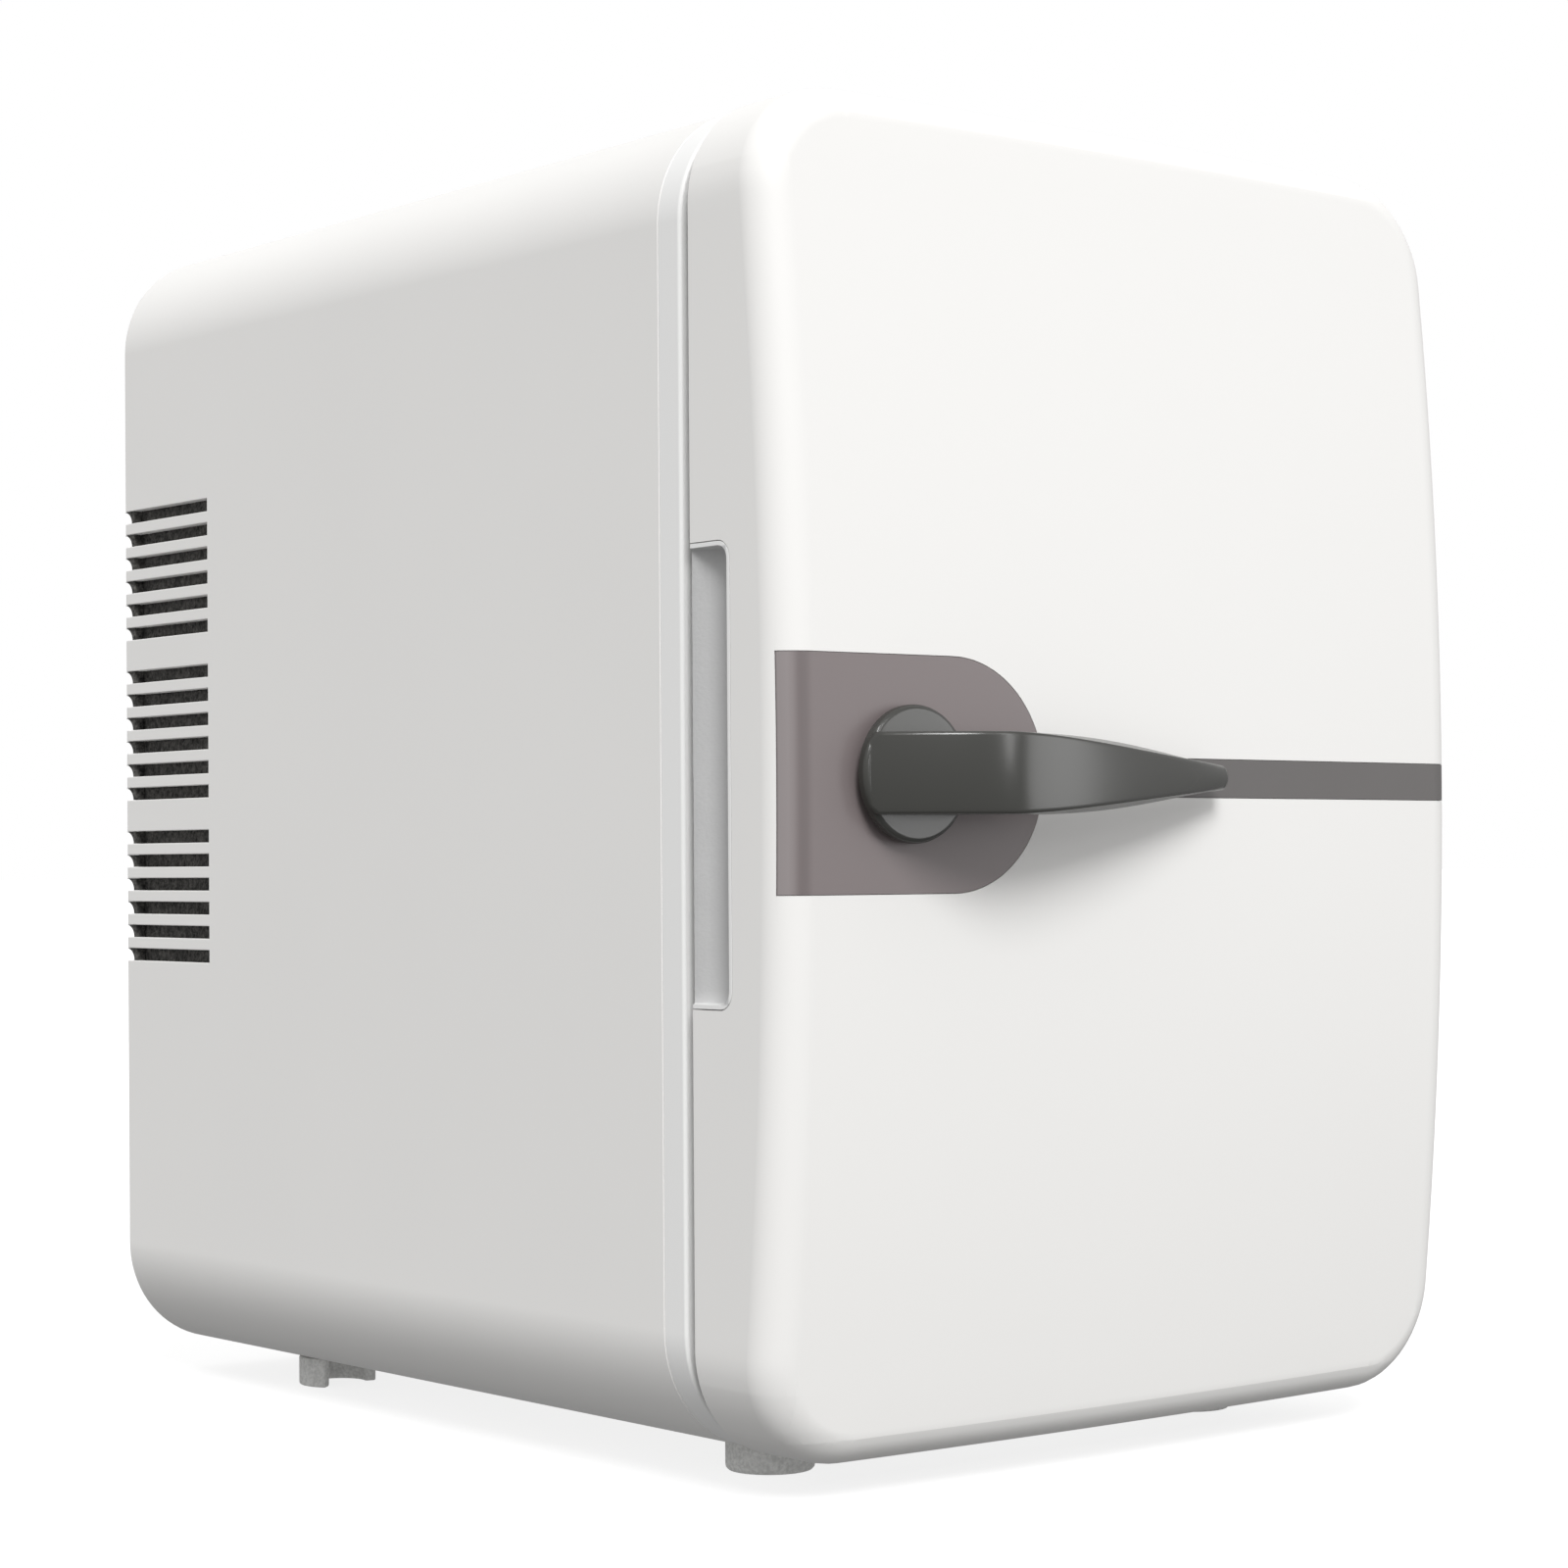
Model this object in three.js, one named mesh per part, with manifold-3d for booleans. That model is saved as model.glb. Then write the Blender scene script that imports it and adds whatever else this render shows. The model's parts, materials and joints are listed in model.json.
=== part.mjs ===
// A four-litre thermoelectric mini fridge: a rounded cabinet with side louvres, a crowned door with a
// finger recess on its left edge, a turning lever on an inlaid plate, and the cooling unit behind the
// compartment. Millimetres, +Z up, the door faces -Y, and the fridge stands on Z = 0.

import * as THREE from 'three';
import { mergeVertices } from 'three/addons/utils/BufferGeometryUtils.js';
import Module from 'manifold-3d';

const wasm = await Module();
wasm.setup();

// ---------------------------------------------------------------- driving dimensions
// Cabinet and door share one outline. Y = 0 is the middle of the groove between them.
const WIDTH = 175.2;
const HEIGHT = 244;
const FOOT_HEIGHT = 6.5;
const MID = FOOT_HEIGHT + HEIGHT / 2;
const CABINET_CORNER = 23;
const CABINET_REAR = 207.4;
const CABINET_EDGE = 1.4;
const SHELL_WALL = 2.4;
const FRAME_FRONT = 1.8;
const FRAME_BAND = 6.2;
const FRAME_DEPTH = 7.2;
const GAP = 0.3;

// Door: flat sides, a rounded front edge and a front that is crowned both ways.
const DOOR_REAR = -0.8;
const DOOR_FRONT = -29.7;
const DOOR_CORNER = 20.5;
const DOOR_EDGE = 6.2;
const CROWN_X = 0.000374;
const CROWN_Z = 0.000507;

// Compartment and the plug of the door that closes it.
const CAVITY_WIDTH = 135;
const CAVITY_HEIGHT = 200;
const CAVITY_CORNER = 10;
const CAVITY_REAR = 141;
const LINER_WALL = 1.2;
const PLUG_GAP = 3.2;
const PLUG_REAR = 10.5;
const LINER_SEAT = DOOR_REAR - 0.4;
const LINER_FRONT = FRAME_FRONT + FRAME_DEPTH + GAP;
const LINER_FLANGE = 8;

// Shelf and the two ledges of the liner that carry it.
const LEDGE_Z = MID - 8;
const LEDGE_FRONT = 24;
const LEDGE_REAR = 132;
const LEDGE_REACH = 3.5;
const SHELF_THICKNESS = 2.4;
const SHELF_SLOT_PITCH = 13;
const SHELF_SLOT_HALF = 3.2;

// Finger recess in the left edge of the door.
const RECESS_HALF_HEIGHT = 40.3;
const RECESS_FRONT = -11.2;
const RECESS_DEPTH = 7.6;
const CUP_WALL = 0.8;
const CUP_SEAT = CUP_WALL + GAP;
const CUP_BACKING = CUP_SEAT + 1.2;

// Side louvres: groups of slots that run out through the rear edge.
const LOUVRE_FRONT = 170.2;
const LOUVRE_HEIGHT = 2.75;
const LOUVRE_PITCH = 5.2;
const LOUVRES_PER_GROUP = 6;
const LOUVRE_GROUP_TOPS = [64, 28.3, -7.4];
const FILTER_THICKNESS = 1.5;

// Feet: discs at the front, open rings at the rear, as [x, y] of the right-hand one.
const FOOT_RADIUS = 8.4;
const FOOT_RING = 2.6;
const FRONT_FOOT = [55.6, 18.1];
const REAR_FOOT = [59.4, 164.6];

// Lever on the door, its shaft, and the bolt that it throws with a rack and pinion.
const LEVER_X = -60.8;
const LEVER_DISC = 12.2;
const PLATE_LEFT = -86.6;
const PLATE_HALF_HEIGHT = 21;
const PLATE_END_X = -50;
const STRIPE_HALF_HEIGHT = 3.6;
const INLAY = 0.9;
const PLATE_FACE = DOOR_FRONT + CROWN_X * (LEVER_X + LEVER_DISC) ** 2;
const DISC_REAR = PLATE_FACE - GAP;
const DISC_FRONT = DISC_REAR - 2;
const SHAFT_RADIUS = 3;
const SHAFT_END = -5.4;
const PINION_FRONT = -9.5;
const PINION_REAR = -6.5;
const PINION_TEETH = 9;
const PITCH_RADIUS = 4.5;
const TOOTH_PITCH = 2 * Math.PI * PITCH_RADIUS / PINION_TEETH;
const RACK_LEFT = -66.5;
const RACK_RIGHT = -47;
const RACK_BOTTOM = -9;
const GUIDE_LEFT = -76;
const GUIDE_RIGHT = -44;

// Straight-flanked teeth as [half width, height over the pitch line].
const RACK_TOOTH = [[1, -1], [0.45, 0.7]];
const PINION_TOOTH = [[0.75, -0.9], [0.3, 0.7]];

// The tongue of the latch bolt crosses from the door plug into the keeper.
const TONGUE_Y = 5.1;
const TONGUE_Z = MID - 4.5;
const TONGUE_HALF = 4;
const TONGUE_THICKNESS = 2;

// Hinge on the right side: its pin stands just outside the side wall.
const HINGE_X = WIDTH / 2 + 3.5;
const HINGE_Y = 0.5;
const HINGE_BARREL = 3.2;
const HINGE_HEIGHT = 24;
const HINGE_OFFSET = 72;
const HINGE_BORE = 1.5;
const HINGE_PIN = 1.2;
const LEAF_THICKNESS = 1.2;
const LEAF_X = WIDTH / 2 + GAP;

// Cooling unit, stacked backwards from the compartment.
const COOLER_Z = MID + 14;
const COLD_FAN_SIZE = 44;
const HOT_FAN_SIZE = 80;
const COLD_FAN_FRONT = CAVITY_REAR + LINER_WALL + GAP;
const COLD_FAN_DEPTH = 8;
const COLD_SINK_FRONT = COLD_FAN_FRONT + COLD_FAN_DEPTH + GAP;
const PELTIER_FRONT = COLD_SINK_FRONT + 12 + GAP;
const HOT_SINK_FRONT = PELTIER_FRONT + 3.8 + GAP;
const HOT_FAN_FRONT = HOT_SINK_FRONT + 17 + GAP;
const HOT_FAN_DEPTH = 12;
const CHASSIS_FRONT = PELTIER_FRONT + GAP;
const COVER_FRONT = CABINET_REAR - 3.2;
const COVER_SCREWS = [[-74, -106], [74, -106], [-74, 106], [74, 106]];
const SCREW_INSET = 3.4;
const FAN_BLADES = 7;

// Rear cover: the grille over the hot fan, and a row of fittings below it that stand proud of the cover.
const COVER_REAR = CABINET_REAR - 0.2;
const GRILLE_SLOTS = 13;
const GRILLE_PITCH = 6;
const GRILLE_RADIUS = 41;
const PANEL_Z = MID - 88;
const FLANGE_REAR = CABINET_REAR + 0.9;
const INLET = { x: -38, width: 24, height: 14 };
const JACK = { x: 0, radius: 6 };
const SWITCH = { x: 38, width: 13, height: 19 };
const ROCKER_Y = CABINET_REAR - 2.5;
const LIGHT_Z = PANEL_Z + 20;
const LIGHT_SPACING = 5;

// ---------------------------------------------------------------- materials
const finish = (color, roughness, metalness = 0) =>
  new THREE.MeshStandardMaterial({ color, roughness, metalness });

const SHELL_WHITE = finish(0xd3d2d0, 0.55);
const DOOR_WHITE = finish(0xf0efed, 0.4);
const FRAME_WHITE = finish(0xd8d9da, 0.5);
const LINER_WHITE = finish(0xe6e7e8, 0.35);
const FOAM = finish(0xe8e2c8, 0.95);
const RUBBER = finish(0xb4b4b2, 0.9);
const SEAL = finish(0xa5a6a6, 0.8);
const PLATE_TAUPE = finish(0x857b7b, 0.4);
const LEVER_GREY = finish(0x5a5a57, 0.42);
const STRIPE_GREY = finish(0x666563, 0.5);
const BLACK = finish(0x1d1d1e, 0.6);
const ALUMINIUM = finish(0xb9bcc0, 0.35, 0.9);
const STEEL = finish(0x9a9c9f, 0.3, 1);
const BOARD_GREEN = finish(0x2e6b45, 0.6);
const CERAMIC = finish(0xe9e9e4, 0.7);
const GREEN_LENS = finish(0x3fae5a, 0.2);
const RED_LENS = finish(0xb5392f, 0.2);

// ---------------------------------------------------------------- solids
function toSolid(geometry) {
  const bare = geometry.clone();
  bare.deleteAttribute('normal');
  bare.deleteAttribute('uv');
  const merged = mergeVertices(bare, 1e-4);
  return new wasm.Manifold(new wasm.Mesh({
    numProp: 3,
    vertProperties: merged.attributes.position.array,
    triVerts: Uint32Array.from(merged.index.array),
  }));
}

function fromSolid(solid) {
  const { vertProperties, triVerts } = solid.getMesh();
  const geometry = new THREE.BufferGeometry();
  geometry.setAttribute('position', new THREE.BufferAttribute(vertProperties, 3));
  geometry.setIndex(new THREE.BufferAttribute(triVerts, 1));
  return geometry;
}

const cut = (base, ...tools) =>
  fromSolid(tools.reduce((solid, tool) => solid.subtract(toSolid(tool)), toSolid(base)));
const join = (base, ...others) =>
  fromSolid(others.reduce((solid, other) => solid.add(toSolid(other)), toSolid(base)));
const common = (base, ...others) =>
  fromSolid(others.reduce((solid, other) => solid.intersect(toSolid(other)), toSolid(base)));

// A box between two corners.
function block(x0, x1, y0, y1, z0, z1) {
  return new THREE.BoxGeometry(x1 - x0, y1 - y0, z1 - z0)
    .translate((x0 + x1) / 2, (y0 + y1) / 2, (z0 + z1) / 2);
}

// A round bar along Y, and one along Z.
function rodY(x, z, radius, y0, y1, sides = 20) {
  return new THREE.CylinderGeometry(radius, radius, y1 - y0, sides).translate(x, (y0 + y1) / 2, z);
}

function rodZ(x, y, radius, z0, z1, sides = 16) {
  return new THREE.CylinderGeometry(radius, radius, z1 - z0, sides)
    .rotateX(Math.PI / 2)
    .translate(x, y, (z0 + z1) / 2);
}

// A section of [radius, height] points turned about an axis through x, z that runs along Y.
function turnedY(section, x, y, z, sides = 32) {
  const points = section.map(([radius, height]) => new THREE.Vector2(radius, height));
  if (THREE.ShapeUtils.area(points) < 0) {
    points.reverse();
  }
  return new THREE.LatheGeometry(points, sides).translate(x, y, z);
}

// A flat outline in X and Z, made solid from y0 back to y1.
function prismY(shape, y0, y1, curveSegments = 10) {
  return new THREE.ExtrudeGeometry(shape, { depth: y1 - y0, bevelEnabled: false, curveSegments })
    .rotateX(Math.PI / 2)
    .translate(0, y1, 0);
}

// A flat outline in X and Y, made solid from z0 up to z1.
function prismZ(shape, z0, z1, curveSegments = 8) {
  return new THREE.ExtrudeGeometry(shape, { depth: z1 - z0, bevelEnabled: false, curveSegments })
    .translate(0, 0, z0);
}

// A flat outline in Y and Z, made solid from x0 to x1.
function prismX(shape, x0, x1, curveSegments = 8) {
  return new THREE.ExtrudeGeometry(shape, { depth: x1 - x0, bevelEnabled: false, curveSegments })
    .applyMatrix4(new THREE.Matrix4().set(
      0, 0, 1, x0,
      1, 0, 0, 0,
      0, 1, 0, 0,
      0, 0, 0, 1));
}

// Points round a rounded rectangle that stands in X and Z about the middle of the fridge.
// y is a number, or a function of x and z where the ring follows a curved face.
const ARC_STEPS = 5;
const SIDE_STEPS = 3;

function ring(width, height, corner, y, scale = 1) {
  const points = [];
  const radius = Math.max(corner, 0.5);
  const arcX = width / 2 - radius;
  const arcZ = height / 2 - radius;
  const corners = [[1, 1], [-1, 1], [-1, -1], [1, -1]];
  corners.forEach(([signX, signZ], quarter) => {
    for (let step = 0; step <= ARC_STEPS; step += 1) {
      const angle = (quarter + step / ARC_STEPS) * Math.PI / 2;
      points.push([signX * arcX + radius * Math.cos(angle), signZ * arcZ + radius * Math.sin(angle)]);
    }
    const [x0, z0] = points[points.length - 1];
    const [nextX, nextZ] = corners[(quarter + 1) % 4];
    const along = quarter % 2 === 0 ? [2 * nextX * arcX, 0] : [0, 2 * nextZ * arcZ];
    for (let step = 1; step < SIDE_STEPS; step += 1) {
      points.push([x0 + along[0] * step / SIDE_STEPS, z0 + along[1] * step / SIDE_STEPS]);
    }
  });
  return points.map(([x, z]) => {
    const level = typeof y === 'function' ? y(x * scale, z * scale) : y;
    return new THREE.Vector3(x * scale, level, MID + z * scale);
  });
}

// Skins a row of rings. An open row is capped at both ends, and a closed one joins its last to its first.
function loft(rings, closed = false) {
  const count = rings[0].length;
  const vertices = rings.flat();
  const triangles = [];
  const bands = closed ? rings.length : rings.length - 1;
  for (let band = 0; band < bands; band += 1) {
    const near = band * count;
    const far = ((band + 1) % rings.length) * count;
    for (let side = 0; side < count; side += 1) {
      const next = (side + 1) % count;
      triangles.push(near + side, near + next, far + next, near + side, far + next, far + side);
    }
  }
  if (!closed) {
    for (const [start, order] of [[0, -1], [(rings.length - 1) * count, 1]]) {
      const middle = vertices.length;
      const sum = vertices.slice(start, start + count).reduce((a, b) => a.clone().add(b));
      vertices.push(sum.divideScalar(count));
      for (let side = 0; side < count; side += 1) {
        const pair = [start + side, start + (side + 1) % count];
        triangles.push(middle, ...(order > 0 ? pair : pair.reverse()));
      }
    }
  }
  const geometry = new THREE.BufferGeometry().setFromPoints(vertices);
  geometry.setIndex(signedVolume(vertices, triangles) > 0 ? triangles : triangles.reverse());
  return geometry;
}

function signedVolume(vertices, triangles) {
  let volume = 0;
  for (let index = 0; index < triangles.length; index += 3) {
    const [a, b, c] = [0, 1, 2].map((corner) => vertices[triangles[index + corner]]);
    volume += a.dot(b.clone().cross(c)) / 6;
  }
  return volume;
}

// ---------------------------------------------------------------- scene graph
const fridge = new THREE.Group();

function add(name, geometry, material) {
  const mesh = new THREE.Mesh(geometry, material);
  mesh.name = name;
  fridge.add(mesh);
  return mesh;
}

// ---------------------------------------------------------------- cabinet
const cabinetRing = (inset, y) => ring(
  WIDTH - 2 * inset, HEIGHT - 2 * inset, Math.max(CABINET_CORNER - inset, 8), y);

function outerShell() {
  const front = FRAME_FRONT + FRAME_BAND + GAP;
  const sleeve = loft([
    cabinetRing(0, front),
    cabinetRing(0, CABINET_REAR - CABINET_EDGE),
    cabinetRing(0.3 * CABINET_EDGE, CABINET_REAR - 0.3 * CABINET_EDGE),
    cabinetRing(CABINET_EDGE, CABINET_REAR),
    cabinetRing(SHELL_WALL, CABINET_REAR),
    cabinetRing(SHELL_WALL, front),
  ], true);
  const slots = [];
  for (const side of [-1, 1]) {
    const outer = side * (WIDTH / 2 + 2);
    const inner = side * (WIDTH / 2 - SHELL_WALL - 2);
    for (const top of LOUVRE_GROUP_TOPS) {
      for (let index = 0; index < LOUVRES_PER_GROUP; index += 1) {
        const z = MID + top - index * LOUVRE_PITCH;
        slots.push(block(Math.min(outer, inner), Math.max(outer, inner),
          LOUVRE_FRONT, CABINET_REAR + 1, z - LOUVRE_HEIGHT, z));
      }
    }
  }
  return cut(sleeve, ...slots);
}

// A pad of open-cell foam behind the louvres of one side.
function airFilter(side) {
  const outer = side * (WIDTH / 2 - SHELL_WALL - GAP);
  const inner = outer - side * FILTER_THICKNESS;
  const low = LOUVRE_GROUP_TOPS[2] - LOUVRES_PER_GROUP * LOUVRE_PITCH;
  return block(Math.min(outer, inner), Math.max(outer, inner), LOUVRE_FRONT - 1.6, COVER_FRONT - 0.4,
    MID + low, MID + LOUVRE_GROUP_TOPS[0] + 2);
}

function frontFrame() {
  const rear = FRAME_FRONT + FRAME_DEPTH;
  const spigot = SHELL_WALL + 0.4;
  const opening = (grow, y) => ring(
    CAVITY_WIDTH + 2 * grow, CAVITY_HEIGHT + 2 * grow, CAVITY_CORNER + grow, y);
  const band = FRAME_FRONT + FRAME_BAND;
  const body = loft([
    cabinetRing(1, FRAME_FRONT),
    cabinetRing(0.2, FRAME_FRONT + 0.8),
    cabinetRing(0.2, band),
    cabinetRing(spigot, band),
    cabinetRing(spigot, band + 6),
    cabinetRing(spigot + 1.6, band + 6),
    cabinetRing(spigot + 1.6, rear),
    opening(0, rear),
    opening(0, FRAME_FRONT + 1),
    opening(1, FRAME_FRONT),
  ], true);
  const edge = -CAVITY_WIDTH / 2;
  const pocket = block(edge - 8.4, edge + 1, TONGUE_Y - 2.2, TONGUE_Y + 2.2,
    TONGUE_Z - TONGUE_HALF - 1.2, TONGUE_Z + TONGUE_HALF + 1.2);
  return cut(body, pocket);
}

function keeper() {
  const edge = -CAVITY_WIDTH / 2;
  const outer = block(edge - 8.1, edge - 0.1, TONGUE_Y - 1.9, TONGUE_Y + 1.9,
    TONGUE_Z - TONGUE_HALF - 0.9, TONGUE_Z + TONGUE_HALF + 0.9);
  const inner = block(edge - 7.5, edge + 1, TONGUE_Y - 1.3, TONGUE_Y + 1.3,
    TONGUE_Z - TONGUE_HALF - 0.3, TONGUE_Z + TONGUE_HALF + 0.3);
  return cut(outer, inner);
}

function innerLiner() {
  const wall = (grow, y) => ring(
    CAVITY_WIDTH + 2 * grow, CAVITY_HEIGHT + 2 * grow, CAVITY_CORNER + grow, y);
  const tub = loft([
    wall(LINER_WALL, CAVITY_REAR + LINER_WALL),
    wall(LINER_WALL, LINER_FRONT + LINER_WALL),
    wall(LINER_FLANGE, LINER_FRONT + LINER_WALL),
    wall(LINER_FLANGE, LINER_FRONT),
    wall(0, LINER_FRONT),
    wall(0, CAVITY_REAR),
  ]);
  const ledges = [-1, 1].map((side) => {
    const wallX = side * (CAVITY_WIDTH / 2 + 0.5);
    const tipX = side * (CAVITY_WIDTH / 2 - LEDGE_REACH);
    return block(Math.min(wallX, tipX), Math.max(wallX, tipX), LEDGE_FRONT, LEDGE_REAR, LEDGE_Z - 2, LEDGE_Z);
  });
  const fanHole = rodY(0, COOLER_Z, COLD_FAN_SIZE / 2 - 2, CAVITY_REAR - 2, CAVITY_REAR + 3, 28);
  return cut(join(tub, ...ledges), fanHole);
}

function insulationFoam() {
  const outer = SHELL_WALL + 2.3;
  const hollow = LINER_WALL + GAP;
  const liner = (y) => ring(
    CAVITY_WIDTH + 2 * hollow, CAVITY_HEIGHT + 2 * hollow, CAVITY_CORNER + hollow, y);
  const front = FRAME_FRONT + FRAME_BAND + 6 + GAP;
  const body = loft([
    cabinetRing(outer, CHASSIS_FRONT - GAP),
    cabinetRing(outer, front),
    liner(front),
    liner(CAVITY_REAR + hollow),
  ]);
  const half = 27;
  const duct = block(-half, half, CAVITY_REAR, CHASSIS_FRONT + 1, COOLER_Z - half, COOLER_Z + half);
  return cut(body, duct);
}

function shelf() {
  const halfWidth = CAVITY_WIDTH / 2 - 1;
  const front = LEDGE_FRONT - 4;
  const low = LEDGE_Z + GAP;
  const plate = block(-halfWidth, halfWidth, front + 2, LEDGE_REAR, low, low + SHELF_THICKNESS);
  const lip = block(-halfWidth, halfWidth, front, front + 2.4, low, LEDGE_Z + 7);
  const slots = [];
  for (let index = -4; index <= 4; index += 1) {
    const x = index * SHELF_SLOT_PITCH;
    slots.push(block(x - SHELF_SLOT_HALF, x + SHELF_SLOT_HALF, front + 12, LEDGE_REAR - 8,
      low - 1, low + SHELF_THICKNESS + 1));
  }
  return cut(join(plate, lip), ...slots);
}

add('outer_shell', outerShell(), SHELL_WHITE);
add('air_filter_left', airFilter(-1), BLACK);
add('air_filter_right', airFilter(1), BLACK);
add('front_frame', frontFrame(), FRAME_WHITE);
add('keeper', keeper(), STEEL);
add('inner_liner', innerLiner(), LINER_WHITE);
add('insulation_foam', insulationFoam(), FOAM);
add('shelf', shelf(), LINER_WHITE);

// ---------------------------------------------------------------- feet
function frontFoot(x) {
  const top = FOOT_HEIGHT - GAP;
  return new THREE.LatheGeometry([
    new THREE.Vector2(0, 0),
    new THREE.Vector2(FOOT_RADIUS - 0.5, 0),
    new THREE.Vector2(FOOT_RADIUS, 0.5),
    new THREE.Vector2(FOOT_RADIUS, top),
    new THREE.Vector2(0, top),
  ], 24).rotateX(Math.PI / 2).translate(x, FRONT_FOOT[1], 0);
}

// The rear feet are rings with a gap that faces the front and the outside of the fridge.
function rearFoot(side) {
  const gap = side < 0 ? [-22, 220] : [-40, 202];
  const [from, to] = gap.map(THREE.MathUtils.degToRad);
  const shape = new THREE.Shape();
  shape.absarc(0, 0, FOOT_RADIUS, from, to, false);
  shape.absarc(0, 0, FOOT_RADIUS - FOOT_RING, to, from, true);
  return prismZ(shape, 0, FOOT_HEIGHT - GAP, 9).translate(side * REAR_FOOT[0], REAR_FOOT[1], 0);
}

add('foot_front_left', frontFoot(-FRONT_FOOT[0]), RUBBER);
add('foot_front_right', frontFoot(FRONT_FOOT[0]), RUBBER);
add('foot_rear_left', rearFoot(-1), RUBBER);
add('foot_rear_right', rearFoot(1), RUBBER);

// ---------------------------------------------------------------- cooling unit
// A finned block: the base stands across Y, and upright fins point forwards or backwards from it.
function finnedSink(width, height, base0, base1, fin0, fin1, fins) {
  const plate = block(-width / 2, width / 2, base0, base1, COOLER_Z - height / 2, COOLER_Z + height / 2);
  const pitch = (width - 2) / (fins - 1);
  const blades = [];
  for (let index = 0; index < fins; index += 1) {
    const x = -width / 2 + 1 + index * pitch;
    blades.push(block(x - 0.75, x + 0.75, fin0, fin1, COOLER_Z - height / 2, COOLER_Z + height / 2));
  }
  return join(plate, ...blades);
}

function fanFrame(size, front, depth) {
  const half = size / 2;
  const bore = half - 2;
  const hub = size * 0.19;
  const body = block(-half, half, front, front + depth, COOLER_Z - half, COOLER_Z + half);
  const hole = rodY(0, COOLER_Z, bore, front - 1, front + depth + 1, 32);
  const screwInset = half - SCREW_INSET;
  const screwHoles = [[-1, -1], [1, -1], [-1, 1], [1, 1]].map(([signX, signZ]) => rodY(
    signX * screwInset, COOLER_Z + signZ * screwInset, 1.9, front - 1, front + depth + 1, 10));
  const struts = [0, 1, 2].map((index) => new THREE.BoxGeometry(bore + 1, 1.6, 3)
    .translate((bore + 1) / 2, 0, 0)
    .rotateY(index * 2 * Math.PI / 3)
    .translate(0, front + depth - 0.8, COOLER_Z));
  const seat = rodY(0, COOLER_Z, hub, front + depth - 1.6, front + depth, 20);
  return join(cut(body, hole, ...screwHoles), ...struts, seat);
}

function fanRotor(size, front, depth) {
  const hub = size * 0.18;
  const tip = size / 2 - 3.2;
  const centre = rodY(0, COOLER_Z, hub, front + 0.8, front + depth - 2.2, 20);
  const middle = front + (depth - 1.4) / 2;
  const blades = [];
  for (let index = 0; index < FAN_BLADES; index += 1) {
    blades.push(new THREE.BoxGeometry(tip - hub + 1, 0.9, size * 0.17)
      .rotateX(THREE.MathUtils.degToRad(-28))
      .translate((tip + hub - 1) / 2, 0, 0)
      .rotateY(index * 2 * Math.PI / FAN_BLADES)
      .translate(0, middle, COOLER_Z));
  }
  return join(centre, ...blades);
}

function coldFanGuard() {
  const rear = CAVITY_REAR - GAP;
  const outer = COLD_FAN_SIZE / 2 + 4;
  const rim = turnedY([[outer - 6, -1.6], [outer - 1, -1.6], [outer, -0.6], [outer, 0], [outer - 6, 0],
    [outer - 6, -1.6]], 0, rear, COOLER_Z, 24);
  const rings = [5, 12.5].map((radius) => turnedY([[radius - 0.8, -1.6], [radius + 0.8, -1.6],
    [radius + 0.8, 0], [radius - 0.8, 0], [radius - 0.8, -1.6]], 0, rear, COOLER_Z, 16));
  const bars = [0, 1, 2].map((index) => new THREE.BoxGeometry(2 * outer - 8, 1.2, 1.6)
    .rotateY(index * Math.PI / 3)
    .translate(0, rear - 0.8, COOLER_Z));
  return join(rim, ...rings, ...bars);
}

function rearChassis() {
  const plate = loft([
    cabinetRing(SHELL_WALL + 0.4, CHASSIS_FRONT),
    cabinetRing(SHELL_WALL + 0.4, CHASSIS_FRONT + 2),
  ]);
  const posts = COVER_SCREWS.map(([x, z]) => cut(
    rodY(x, MID + z, 4, CHASSIS_FRONT + 1, COVER_FRONT + 1.2 - GAP, 16),
    rodY(x, MID + z, 1.8, COVER_FRONT - 12, COVER_FRONT + 4, 10)));
  const window = block(-22, 22, CHASSIS_FRONT - 1, CHASSIS_FRONT + 3, COOLER_Z - 22, COOLER_Z + 22);
  return join(cut(plate, window), ...posts);
}

function panScrew(x, z, seat, shankFront, headRadius, shankRadius) {
  return turnedY([[0, shankFront - seat], [shankRadius, shankFront - seat], [shankRadius, 0],
    [headRadius, 0], [headRadius, 0.9], [headRadius * 0.6, 1.6], [0, 1.6]], x, seat, z, 10);
}

add('cold_fan_guard', coldFanGuard(), LINER_WHITE);
add('cold_fan_frame', fanFrame(COLD_FAN_SIZE, COLD_FAN_FRONT, COLD_FAN_DEPTH), BLACK);
add('cold_fan_rotor', fanRotor(COLD_FAN_SIZE, COLD_FAN_FRONT, COLD_FAN_DEPTH), BLACK);
add('cold_sink', finnedSink(50, 50, COLD_SINK_FRONT + 8, COLD_SINK_FRONT + 12,
  COLD_SINK_FRONT, COLD_SINK_FRONT + 8.5, 10), ALUMINIUM);
add('peltier_module', block(-20, 20, PELTIER_FRONT, PELTIER_FRONT + 3.8, COOLER_Z - 20, COOLER_Z + 20),
  CERAMIC);
add('rear_chassis', rearChassis(), BLACK);
add('hot_sink', finnedSink(96, 86, HOT_SINK_FRONT, HOT_SINK_FRONT + 4,
  HOT_SINK_FRONT + 3.5, HOT_SINK_FRONT + 17, 14), ALUMINIUM);
add('hot_fan_frame', fanFrame(HOT_FAN_SIZE, HOT_FAN_FRONT, HOT_FAN_DEPTH), BLACK);
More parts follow.
